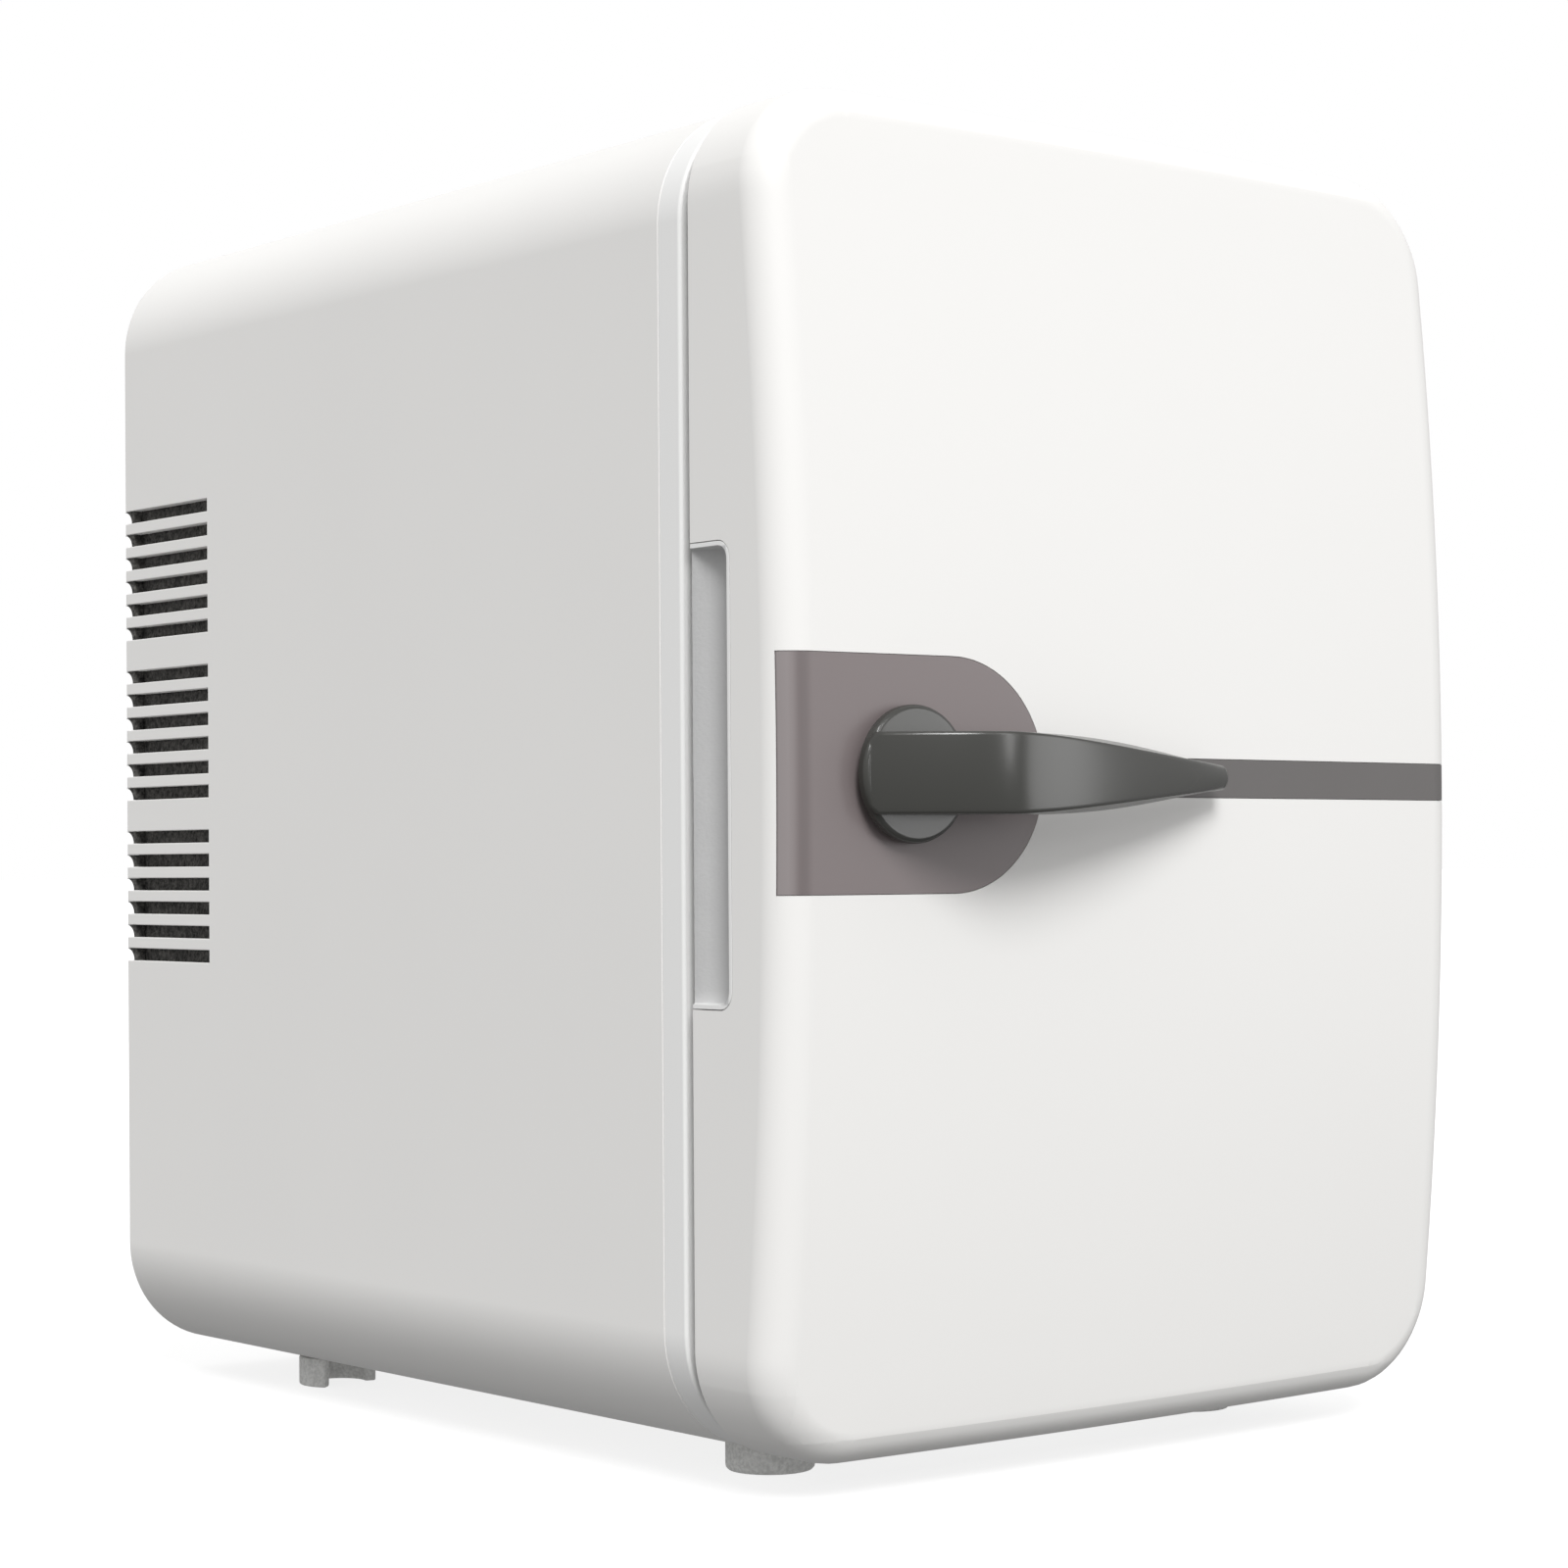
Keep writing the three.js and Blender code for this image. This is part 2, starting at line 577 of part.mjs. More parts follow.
add('hot_fan_rotor', fanRotor(HOT_FAN_SIZE, HOT_FAN_FRONT, HOT_FAN_DEPTH), BLACK);
[[-1, -1], [1, -1], [-1, 1], [1, 1]].forEach(([signX, signZ], index) => {
  const inset = HOT_FAN_SIZE / 2 - SCREW_INSET;
  add(`hot_fan_screw_${index + 1}`, panScrew(signX * inset, COOLER_Z + signZ * inset,
    HOT_FAN_FRONT + HOT_FAN_DEPTH + GAP, HOT_FAN_FRONT + 0.2, 3, 1.5), STEEL);
});

// ---------------------------------------------------------------- rear cover and its fittings
function rearCover() {
  const outer = SHELL_WALL + 0.4;
  const inside = COVER_FRONT + 1.2;
  const frame = outer + 45;
  const tray = loft([
    cabinetRing(outer, COVER_FRONT),
    cabinetRing(outer, COVER_REAR - 1),
    cabinetRing(outer + 1, COVER_REAR),
    cabinetRing(frame, COVER_REAR),
    cabinetRing(frame, inside),
    cabinetRing(outer + 2, inside),
    cabinetRing(outer + 2, COVER_FRONT),
  ], true);
  const middle = loft([cabinetRing(frame - 0.5, inside), cabinetRing(frame - 0.5, COVER_REAR)]);
  const through = [COVER_FRONT - 1, CABINET_REAR + 1];
  const grille = [];
  for (let index = 0; index < GRILLE_SLOTS; index += 1) {
    const offset = (index - (GRILLE_SLOTS - 1) / 2) * GRILLE_PITCH;
    const reach = Math.sqrt(GRILLE_RADIUS ** 2 - offset ** 2);
    grille.push(block(-reach, reach, ...through, COOLER_Z + offset - 1.6, COOLER_Z + offset + 1.6));
  }
  const opening = ({ x, width, height }) => block(x - width / 2, x + width / 2, ...through,
    PANEL_Z - height / 2, PANEL_Z + height / 2);
  const holes = [
    opening(INLET),
    opening(SWITCH),
    rodY(JACK.x, PANEL_Z, JACK.radius, ...through, 20),
    rodY(SWITCH.x - LIGHT_SPACING, LIGHT_Z, 2, ...through, 12),
    rodY(SWITCH.x + LIGHT_SPACING, LIGHT_Z, 2, ...through, 12),
    ...COVER_SCREWS.map(([x, z]) => rodY(x, MID + z, 1.9, ...through, 12)),
  ];
  return cut(join(tray, middle), ...grille, ...holes);
}

// A socket body of one fitting, with a flange on the cover around its hole.
function flangedBody({ x, width, height }, front, flange) {
  const half = width / 2;
  const tall = height / 2;
  return join(
    block(x - half + GAP, x + half - GAP, front, FLANGE_REAR, PANEL_Z - tall + GAP, PANEL_Z + tall - GAP),
    block(x - half - flange, x + half + flange, CABINET_REAR + 0.1, FLANGE_REAR,
      PANEL_Z - tall - flange, PANEL_Z + tall + flange));
}

function inlet() {
  const half = INLET.width / 2 - 2.2;
  const tall = INLET.height / 2 - 2.2;
  const well = block(INLET.x - half, INLET.x + half, COVER_FRONT - 11, FLANGE_REAR + 1,
    PANEL_Z - tall, PANEL_Z + tall);
  const pins = [-4, 4].map((offset) => rodY(INLET.x + offset, PANEL_Z, 1.2, COVER_FRONT - 12,
    COVER_FRONT - 2, 10));
  return join(cut(flangedBody(INLET, COVER_FRONT - 14, 2.5), well), ...pins);
}

function jack() {
  return turnedY([[0, -16], [JACK.radius - GAP, -16], [JACK.radius - GAP, -0.8], [JACK.radius + 1.8, -0.8],
    [JACK.radius + 1.8, 0], [3.4, 0], [3.4, -11], [1.1, -11], [1.1, -2], [0, -2]],
  JACK.x, FLANGE_REAR, PANEL_Z, 14);
}

function switchHousing() {
  const half = SWITCH.width / 2 - 1.4;
  const tall = SWITCH.height / 2 - 1.2;
  const well = block(SWITCH.x - half, SWITCH.x + half, COVER_FRONT - 8.5, FLANGE_REAR + 1,
    PANEL_Z - tall, PANEL_Z + tall);
  return cut(flangedBody(SWITCH, COVER_FRONT - 10, 1.5), well);
}

// The rocker turns on an axis along X through ROCKER_Y.
function rocker() {
  const shape = new THREE.Shape();
  shape.moveTo(3.2, 7.4);
  shape.lineTo(-1, 7.4);
  shape.lineTo(-4.4, 3);
  shape.lineTo(-4.4, -3);
  shape.lineTo(-1, -7.4);
  shape.lineTo(3.2, -7.4);
  shape.quadraticCurveTo(1.2, 0, 3.2, 7.4);
  const half = SWITCH.width / 2 - 1.4 - GAP;
  return prismX(shape, SWITCH.x - half, SWITCH.x + half, 6).translate(0, ROCKER_Y, PANEL_Z);
}

function lens(x) {
  return turnedY([[0, -4], [1.7, -4], [1.7, 0], [1.2, 0.7], [0, 0.9]], x, CABINET_REAR - 0.4, LIGHT_Z, 12);
}

add('rear_cover', rearCover(), SHELL_WHITE);
COVER_SCREWS.forEach(([x, z], index) => {
  add(`cover_screw_${index + 1}`, panScrew(x, MID + z, CABINET_REAR + 0.1, COVER_FRONT - 9, 3.2, 1.5),
    STEEL);
});
add('power_inlet', inlet(), BLACK);
add('car_socket', jack(), BLACK);
add('switch_housing', switchHousing(), BLACK);
add('mode_switch', rocker(), BLACK);
add('cool_light', lens(SWITCH.x - LIGHT_SPACING), GREEN_LENS);
add('warm_light', lens(SWITCH.x + LIGHT_SPACING), RED_LENS);
add('power_board', block(-58, 58, CHASSIS_FRONT + 6, CHASSIS_FRONT + 7.6, PANEL_Z - 22, PANEL_Z + 22),
  BOARD_GREEN);
add('transformer', block(-20, 12, CHASSIS_FRONT + 8, CHASSIS_FRONT + 24, PANEL_Z - 14, PANEL_Z + 14),
  STEEL);

// ---------------------------------------------------------------- door
const doorFace = (back) => (x, z) => DOOR_FRONT + back + CROWN_X * x * x + CROWN_Z * z * z;

// The whole outer form of the door, shrunk by an inset all round.
function doorForm(inset, rear, steps = 5, scales = [0.78, 0.52, 0.26]) {
  const width = WIDTH - 2 * inset;
  const height = HEIGHT - 2 * inset;
  const corner = DOOR_CORNER - inset;
  const edge = DOOR_EDGE - inset;
  const rings = [ring(width, height, corner, rear)];
  for (let step = 0; step <= steps; step += 1) {
    const angle = step / steps * Math.PI / 2;
    const pull = edge * (1 - Math.cos(angle));
    rings.push(ring(width - 2 * pull, height - 2 * pull, corner - pull,
      doorFace(inset + edge * (1 - Math.sin(angle)))));
  }
  for (const scale of scales) {
    rings.push(ring(width - 2 * edge, height - 2 * edge, corner - edge, doorFace(inset), scale));
  }
  return loft(rings);
}

// Outline of the handle plate, and of the stripe that runs on from it to the right edge.
function plateOutline(grow) {
  const half = PLATE_HALF_HEIGHT + grow;
  const left = PLATE_LEFT - grow;
  const shape = new THREE.Shape();
  shape.moveTo(left, half);
  shape.lineTo(left, -half);
  shape.lineTo(PLATE_END_X, -half);
  shape.absarc(PLATE_END_X, 0, half, -Math.PI / 2, Math.PI / 2, false);
  return shape;
}

function stripeOutline(grow) {
  const half = STRIPE_HALF_HEIGHT + grow;
  const left = PLATE_END_X;
  const right = -PLATE_LEFT + grow;
  const shape = new THREE.Shape();
  shape.moveTo(left, -half);
  shape.lineTo(right, -half);
  shape.lineTo(right, half);
  shape.lineTo(left, half);
  return shape;
}

const acrossDoor = (shape) => prismY(shape, DOOR_FRONT - 5, -14, 14)
  .applyMatrix4(new THREE.Matrix4().makeTranslation(0, 0, MID));

const doorOuter = doorForm(0, DOOR_REAR);
const shaftHole = (radius) => rodY(LEVER_X, MID, radius, -40, 20, 20);

// The scoop for the fingers: a front wall to pull on, a rounded bottom, and an open rear.
function fingerScoop(grow) {
  const side = -WIDTH / 2;
  const floor = side + RECESS_DEPTH + grow;
  const front = RECESS_FRONT - grow;
  const half = RECESS_HALF_HEIGHT + grow;
  const plan = new THREE.Shape();
  plan.moveTo(side - 2, front);
  plan.lineTo(floor - 3.5, front);
  plan.quadraticCurveTo(floor, front, floor, front + 3.5);
  plan.lineTo(floor, 3);
  plan.lineTo(side - 2, 3);
  const elevation = new THREE.Shape();
  const round = 2.5 + grow;
  elevation.moveTo(3, -half);
  elevation.lineTo(3, half);
  elevation.lineTo(front + round, half);
  elevation.absarc(front + round, half - round, round, Math.PI / 2, Math.PI, false);
  elevation.absarc(front + round, -half + round, round, Math.PI, 1.5 * Math.PI, false);
  const along = prismX(elevation, side - 4, side + 16, 4).translate(0, 0, MID);
  return common(prismZ(plan, MID - half - 2, MID + half + 2, 5), along);
}

function doorShell() {
  const hollow = cut(doorForm(SHELL_WALL, DOOR_REAR + 1), fingerScoop(CUP_BACKING));
  const seat = cut(join(acrossDoor(plateOutline(GAP)), acrossDoor(stripeOutline(GAP))),
    doorForm(INLAY + GAP, DOOR_REAR + 1));
  return cut(doorOuter, hollow, fingerScoop(CUP_SEAT), seat, shaftHole(SHAFT_RADIUS + 0.4));
}

function fingerCup() {
  return cut(common(doorOuter, fingerScoop(CUP_WALL)), fingerScoop(0));
}

function handlePlate() {
  return cut(common(doorOuter, acrossDoor(plateOutline(0))),
    doorForm(INLAY, DOOR_REAR + 1), shaftHole(SHAFT_RADIUS + 0.4));
}

function stripeTrim() {
  return cut(common(doorOuter, acrossDoor(stripeOutline(0))),
    doorForm(INLAY, DOOR_REAR + 1), acrossDoor(plateOutline(GAP)));
}

const plugRing = (inset, y) => ring(
  CAVITY_WIDTH - 2 * (PLUG_GAP + inset), CAVITY_HEIGHT - 2 * (PLUG_GAP + inset),
  CAVITY_CORNER - 1 - inset, y);

function tongueHole(grow) {
  return block(-CAVITY_WIDTH / 2, -CAVITY_WIDTH / 2 + 8, TONGUE_Y - 1 - grow, TONGUE_Y + 1 + grow,
    TONGUE_Z - TONGUE_HALF - grow, TONGUE_Z + TONGUE_HALF + grow);
}

function doorLiner() {
  const rim = (y) => ring(WIDTH - 2 * (SHELL_WALL + 0.4), HEIGHT - 2 * (SHELL_WALL + 0.4),
    DOOR_CORNER - SHELL_WALL - 0.4, y);
  const panel = loft([
    plugRing(LINER_WALL, PLUG_REAR - LINER_WALL),
    plugRing(LINER_WALL, LINER_SEAT - LINER_WALL),
    rim(LINER_SEAT - LINER_WALL),
    rim(LINER_SEAT),
    plugRing(0, LINER_SEAT),
    plugRing(0, PLUG_REAR - 1),
    plugRing(1, PLUG_REAR),
  ]);
  return cut(panel, fingerScoop(CUP_BACKING + GAP), tongueHole(0.3));
}

function doorFoam() {
  const deep = SHELL_WALL + GAP;
  const body = join(
    common(doorForm(deep, DOOR_REAR, 2, [0.5]), block(-100, 100, -60, LINER_SEAT - LINER_WALL - GAP, 0, 300)),
    loft([plugRing(LINER_WALL + GAP, -8), plugRing(LINER_WALL + GAP, PLUG_REAR - LINER_WALL - GAP)]));
  const latchRoom = block(-79, -42, -13, 20, MID - 12, MID + 7.5);
  return cut(body, fingerScoop(CUP_BACKING + GAP), latchRoom, shaftHole(SHAFT_RADIUS + 0.8));
}

function gasket() {
  const band = (inset, y) => ring(
    CAVITY_WIDTH + 20 - 2 * inset, CAVITY_HEIGHT + 23.8 - 2 * inset, 17 - inset, y);
  const front = LINER_SEAT + GAP;
  const rear = FRAME_FRONT - GAP;
  return loft([
    band(0.6, front),
    band(0, front + 0.8),
    band(0.8, rear - 0.4),
    band(1.6, rear),
    band(5.2, rear),
    band(6, rear - 0.4),
    band(6.8, front + 0.8),
    band(6.2, front),
  ], true);
}

add('door_shell', doorShell(), DOOR_WHITE);
add('finger_cup', fingerCup(), DOOR_WHITE);
add('door_foam', doorFoam(), FOAM);
add('door_liner', doorLiner(), LINER_WHITE);
add('door_gasket', gasket(), SEAL);
add('handle_plate', handlePlate(), PLATE_TAUPE);
add('stripe_trim', stripeTrim(), STRIPE_GREY);

// ---------------------------------------------------------------- lever and latch
// Seen from above, the arm rises from the left of its disc, bends, and runs right, back towards the door.
function armPlan() {
  const shape = new THREE.Shape();
  shape.moveTo(LEVER_X - LEVER_DISC, DISC_FRONT + 0.6);
  shape.bezierCurveTo(LEVER_X - 7, -35.5, LEVER_X + 1, -43.5, -50.5, -45.6);
  shape.bezierCurveTo(-42, -47.6, -16, -43.6, 11.6, -35.6);
  shape.quadraticCurveTo(13.4, -34.8, 12.6, -33.4);
  shape.bezierCurveTo(-4, -36.6, -24, -41, -39, -41.2);
  shape.bezierCurveTo(-48, -41, -50.5, -36, LEVER_X + 8.6, DISC_FRONT + 0.6);
  return shape;
}

// Seen from the front, the arm is as wide as its root allows and tapers to the tip.
function armElevation() {
  const root = 7.2;
  const angle = Math.asin(root / LEVER_DISC);
  const shape = new THREE.Shape();
  shape.absarc(LEVER_X, 0, LEVER_DISC, Math.PI - angle, Math.PI + angle, false);
  shape.lineTo(-46, -root);
  shape.bezierCurveTo(-28, -6.6, -8, -3.6, 12, -2.3);
  shape.quadraticCurveTo(14.2, 0, 12, 2.3);
  shape.bezierCurveTo(-8, 3.6, -28, 6.6, -46, root);
  return shape;
}

function leverHandle() {
  const disc = turnedY([[0, 0], [LEVER_DISC, 0], [LEVER_DISC, -1.4], [LEVER_DISC - 0.6, -2], [0, -2]],
    LEVER_X, DISC_REAR, MID, 36);
  const arm = common(
    prismZ(armPlan(), MID - 9, MID + 9, 8),
    prismY(armElevation(), -52, DISC_REAR - 0.5, 8).translate(0, 0, MID));
  const bore = rodY(LEVER_X, MID, 2.4, DISC_REAR - 1.2, DISC_REAR + 1, 12);
  return cut(join(disc, arm), bore);
}

// The shaft is keyed into the lever, is round through the door, and carries the pinion behind its collar.
function leverShaft() {
  return join(
    rodY(LEVER_X, MID, 2.1, DISC_REAR - 0.9, DISC_REAR + 2, 12),
    rodY(LEVER_X, MID, SHAFT_RADIUS, DISC_REAR + GAP, PINION_FRONT - GAP, 20),
    rodY(LEVER_X, MID, 2, PINION_FRONT - 1, SHAFT_END, 16));
}

function rackOutline() {
  const shape = new THREE.Shape();
  const [[rootHalf, root], [tipHalf, tip]] = RACK_TOOTH;
  shape.moveTo(RACK_LEFT, RACK_BOTTOM);
  shape.lineTo(RACK_RIGHT, RACK_BOTTOM);
  shape.lineTo(RACK_RIGHT, root - PITCH_RADIUS);
  for (let tooth = 3; tooth >= -1; tooth -= 1) {
    const x = LEVER_X + (tooth + 0.5) * TOOTH_PITCH;
    shape.lineTo(x + rootHalf, root - PITCH_RADIUS);
    shape.lineTo(x + tipHalf, tip - PITCH_RADIUS);
    shape.lineTo(x - tipHalf, tip - PITCH_RADIUS);
    shape.lineTo(x - rootHalf, root - PITCH_RADIUS);
  }
  shape.lineTo(RACK_LEFT, root - PITCH_RADIUS);
  return shape;
}

// One tooth points straight down at rest, into a space of the rack.
function pinion() {
  const shape = new THREE.Shape();
  const [[rootHalf, root], [tipHalf, tip]] = PINION_TOOTH;
  const flank = [[-rootHalf, root], [-tipHalf, tip], [tipHalf, tip], [rootHalf, root]];
  for (let tooth = 0; tooth < PINION_TEETH; tooth += 1) {
    const turn = tooth * 2 * Math.PI / PINION_TEETH;
    flank.forEach(([along, out]) => {
      const point = new THREE.Vector2(along, -PITCH_RADIUS - out)
        .rotateAround(new THREE.Vector2(0, 0), turn);
      if (tooth === 0 && along === -rootHalf) {
        shape.moveTo(point.x, point.y);
      } else {
        shape.lineTo(point.x, point.y);
      }
    });
  }
  const bore = new THREE.Path();
  bore.absarc(0, 0, 2.3, 0, 2 * Math.PI, true);
  shape.holes.push(bore);
  return prismY(shape, PINION_FRONT, PINION_REAR, 6).translate(LEVER_X, 0, MID);
}

// Rack, a leg that passes under the shaft, and the tongue that enters the keeper.
function latchBolt() {
  const rack = prismY(rackOutline(), PINION_FRONT, PINION_REAR).translate(0, 0, MID);
  const leg = block(-51, RACK_RIGHT, PINION_FRONT, TONGUE_Y + 1, MID + RACK_BOTTOM, MID - 6);
  const tip = -CAVITY_WIDTH / 2 + PLUG_GAP + 0.5;
  const tongue = block(tip, RACK_RIGHT, TONGUE_Y - TONGUE_THICKNESS / 2, TONGUE_Y + TONGUE_THICKNESS / 2,
    TONGUE_Z - TONGUE_HALF, TONGUE_Z + TONGUE_HALF);
  return join(rack, leg, tongue);
}

function latchGuide() {
  const shape = new THREE.Shape();
  shape.moveTo(-11.4, -11);
  shape.lineTo(-5.5, -11);
  shape.lineTo(-5.5, -9.4);
  shape.lineTo(-9.9, -9.4);
  shape.lineTo(-9.9, -6.2);
  shape.lineTo(-11.4, -6.2);
  return prismX(shape, GUIDE_LEFT, GUIDE_RIGHT).translate(0, 0, MID);
}

add('lever_handle', leverHandle(), LEVER_GREY);
add('lever_shaft', leverShaft(), STEEL);
add('latch_pinion', pinion(), STEEL);
add('shaft_clip', turnedY([[2.3, 0], [4, 0], [4, 0.8], [2.3, 0.8], [2.3, 0]], LEVER_X,
  PINION_REAR + 0.2, MID, 20), STEEL);
add('latch_bolt', latchBolt(), STEEL);
add('latch_guide', latchGuide(), BLACK);

// ---------------------------------------------------------------- hinges
function hingeLeaf(middle, barrels, y0, y1) {
  const half = HINGE_HEIGHT / 2;
  const leaf = block(LEAF_X, LEAF_X + LEAF_THICKNESS, y0, y1, middle - half, middle + half);
  const room = rodZ(HINGE_X, HINGE_Y, HINGE_BARREL + 0.4, middle - half - 1, middle + half + 1);
  const knuckles = barrels.map(([low, high]) => join(
    rodZ(HINGE_X, HINGE_Y, HINGE_BARREL, middle + low, middle + high),
    block(LEAF_X, LEAF_X + LEAF_THICKNESS, Math.min(HINGE_Y, y0), Math.max(HINGE_Y, y1),
      middle + low, middle + high)));
  const bore = rodZ(HINGE_X, HINGE_Y, HINGE_BORE, middle - half - 1, middle + half + 1, 12);
  return cut(join(cut(leaf, room), ...knuckles), bore);
}

function hingePin(middle) {
  const half = HINGE_HEIGHT / 2;
  return join(
    rodZ(HINGE_X, HINGE_Y, HINGE_PIN, middle - half - 1, middle + half + 1, 12),
    rodZ(HINGE_X, HINGE_Y, 2 * HINGE_PIN, middle + half + GAP, middle + half + 1.3, 16),
    rodZ(HINGE_X, HINGE_Y, 2 * HINGE_PIN, middle - half - 1.3, middle - half - GAP, 16));
}

const OUTER_KNUCKLES = [[-HINGE_HEIGHT / 2, -4.3], [4.3, HINGE_HEIGHT / 2]];
const MIDDLE_KNUCKLE = [[-4, 4]];

for (const [name, offset] of [['top', HINGE_OFFSET], ['bottom', -HINGE_OFFSET]]) {
  const middle = MID + offset;
  add(`hinge_cabinet_${name}`, hingeLeaf(middle, OUTER_KNUCKLES, 4.5, 20), FRAME_WHITE);
  add(`hinge_door_${name}`, hingeLeaf(middle, MIDDLE_KNUCKLE, -17, -3.5), DOOR_WHITE);
  add(`hinge_pin_${name}`, hingePin(middle), STEEL);
}

// The origin is under the middle of everything.
const extent = new THREE.Box3().setFromObject(fridge);
fridge.position.set(-(extent.min.x + extent.max.x) / 2, -(extent.min.y + extent.max.y) / 2, 0);

export default fridge;
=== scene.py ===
"""The looks of the mini fridge: fine meshes, finishes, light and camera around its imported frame.

Shapes are modelled in millimetres in the fridge's own working space: X across from the middle of the
cabinet, Y back from the groove between door and cabinet, and Z up from the cabinet's mid-height.
"""

import json
import math

import bmesh
import bpy
from mathutils import Matrix, Vector
from mathutils.geometry import interpolate_bezier


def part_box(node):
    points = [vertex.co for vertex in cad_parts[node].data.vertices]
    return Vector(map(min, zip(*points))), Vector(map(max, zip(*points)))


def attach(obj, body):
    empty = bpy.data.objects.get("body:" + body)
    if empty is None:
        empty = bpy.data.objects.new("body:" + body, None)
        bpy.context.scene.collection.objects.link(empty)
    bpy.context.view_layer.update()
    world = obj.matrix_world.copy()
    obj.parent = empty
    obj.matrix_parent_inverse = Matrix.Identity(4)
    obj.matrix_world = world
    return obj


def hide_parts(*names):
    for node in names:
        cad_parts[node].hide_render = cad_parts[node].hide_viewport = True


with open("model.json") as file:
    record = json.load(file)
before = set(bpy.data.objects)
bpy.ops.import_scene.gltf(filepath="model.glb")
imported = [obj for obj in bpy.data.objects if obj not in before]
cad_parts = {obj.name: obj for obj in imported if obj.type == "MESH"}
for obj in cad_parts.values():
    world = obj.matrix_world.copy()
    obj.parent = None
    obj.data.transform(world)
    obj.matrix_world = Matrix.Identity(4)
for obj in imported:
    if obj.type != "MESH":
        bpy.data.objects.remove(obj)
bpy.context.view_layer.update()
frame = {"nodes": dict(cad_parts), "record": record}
nodes = frame["nodes"]

# ---------------------------------------------------------------- working space
MM = 0.001
SEAM = 8.3
shell_low, shell_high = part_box("outer_shell")
ORIGIN = Vector((
    (shell_low.x + shell_high.x) / 2,
    shell_low.y - SEAM * MM,
    (shell_low.z + shell_high.z) / 2,
))
TO_ROW = Matrix.Translation(ORIGIN) @ Matrix.Scale(MM, 4)


def local_box(node):
    """Lowest and highest corner of a CAD node in the working space."""
    return tuple((corner - ORIGIN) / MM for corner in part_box(node))


def spot(node):
    """Where a CAD node sits: X and Z of the middle of its box."""
    low, high = local_box(node)
    return (low.x + high.x) / 2, (low.z + high.z) / 2


WIDTH = (shell_high.x - shell_low.x) / MM
HEIGHT = (shell_high.z - shell_low.z) / MM
SIDE = WIDTH / 2
TOP = HEIGHT / 2
CORNER = 23
REAR = local_box("outer_shell")[1].y
WALL = 2.4
GAP = 0.3
CAVITY_WIDTH = 135
CAVITY_HEIGHT = 200
CAVITY_CORNER = 10
LINER_WALL = 1.2
door_low, door_high = local_box("door_shell")
RECESS_HALF = 40.3
RECESS_FRONT = -11.2
PLATE_FOLD = -83
DOOR_FRONT = door_low.y
DOOR_REAR = door_high.y
DOOR_CORNER = 20.5
DOOR_EDGE = 6.2
CROWN_X = 0.000374
CROWN_Z = 0.000507


# ---------------------------------------------------------------- mesh tools
def across_y(y, x=0.0, z=0.0):
    """A plane that stands across Y: its own right is X, its own up is Z."""
    return Matrix.Translation((x, y, z)) @ Matrix.Rotation(math.pi / 2, 4, "X")


def across_x(x, y=0.0, z=0.0):
    """A plane that stands across X: its own right is Y, its own up is Z."""
    return Matrix(((0, 0, 1, x), (1, 0, 0, y), (0, 1, 0, z), (0, 0, 0, 1)))


def loop(bm, width, height, corner, place, arc=12, cuts=0):
    """A closed run of edges round a rounded rectangle that lies in a plane, its upright sides cut up."""
    before = set(bm.faces)
    bmesh.ops.create_grid(bm, x_segments=1, y_segments=1, size=0.5,
                          matrix=place @ Matrix.Diagonal((width, height, 1, 1)))
    face = (set(bm.faces) - before).pop()
    bmesh.ops.bevel(bm, geom=face.verts[:], offset=corner, offset_type="OFFSET", affect="VERTICES",
                    segments=arc, profile=0.5, material=-1, clamp_overlap=False)
    face = (set(bm.faces) - before).pop()
    edges = face.edges[:]
    bmesh.ops.delete(bm, geom=[face], context="FACES_ONLY")
    if cuts:
        back = place.inverted()
        upright = [edge for edge in edges
                   if all(abs(abs((back @ vert.co).x) - width / 2) < 1e-3 for vert in edge.verts)]
        made = bmesh.ops.subdivide_edges(bm, edges=upright, cuts=cuts)["geom_split"]
        edges = list(set(edges) | {part for part in made if isinstance(part, bmesh.types.BMEdge)})
    return edges


def skin(bm, loops, closed=False):
    """Bridges a row of loops, and either joins its ends or caps them."""
    row = loops + loops[:1] if closed else loops
    for near, far in zip(row, row[1:]):
        bmesh.ops.bridge_loops(bm, edges=near + far)
    if not closed:
        for end in (loops[0], loops[-1]):
            bmesh.ops.edgeloop_fill(bm, edges=end)
    return bm


def outline_body(sections, closed=False, arc=12, place=across_y, centre=(0.0, 0.0)):
    """A body whose skin runs over rounded rectangles, each given as width, height, corner and depth.

    Two loops in one plane are set a hair apart, because a bridge between them needs a way to face.
    """
    bm = bmesh.new()
    loops = []
    before = None
    for width, height, corner, depth in sections:
        hair = 0.01 if depth in (before, sections[0][3]) and loops else 0
        loops.append(loop(bm, width, height, corner, place(depth + hair, *centre), arc))
        before = depth
    return skin(bm, loops, closed)


def rounded_end(steps=6):
    """How far a quarter round draws in, and how far it has come forward, as shares of its radius."""
    turns = [step / steps * math.pi / 2 for step in range(steps + 1)]
    return [(1 - math.cos(turn), math.sin(turn)) for turn in turns]


def add_box(bm, low, high):
    """A box between two corners."""
    low, high = Vector(low), Vector(high)
    size = high - low
    bmesh.ops.create_cube(bm, size=1, matrix=(
        Matrix.Translation((low + high) / 2) @ Matrix.Diagonal((size.x, size.y, size.z, 1))))
    return bm


def box(low, high):
    return add_box(bmesh.new(), low, high)


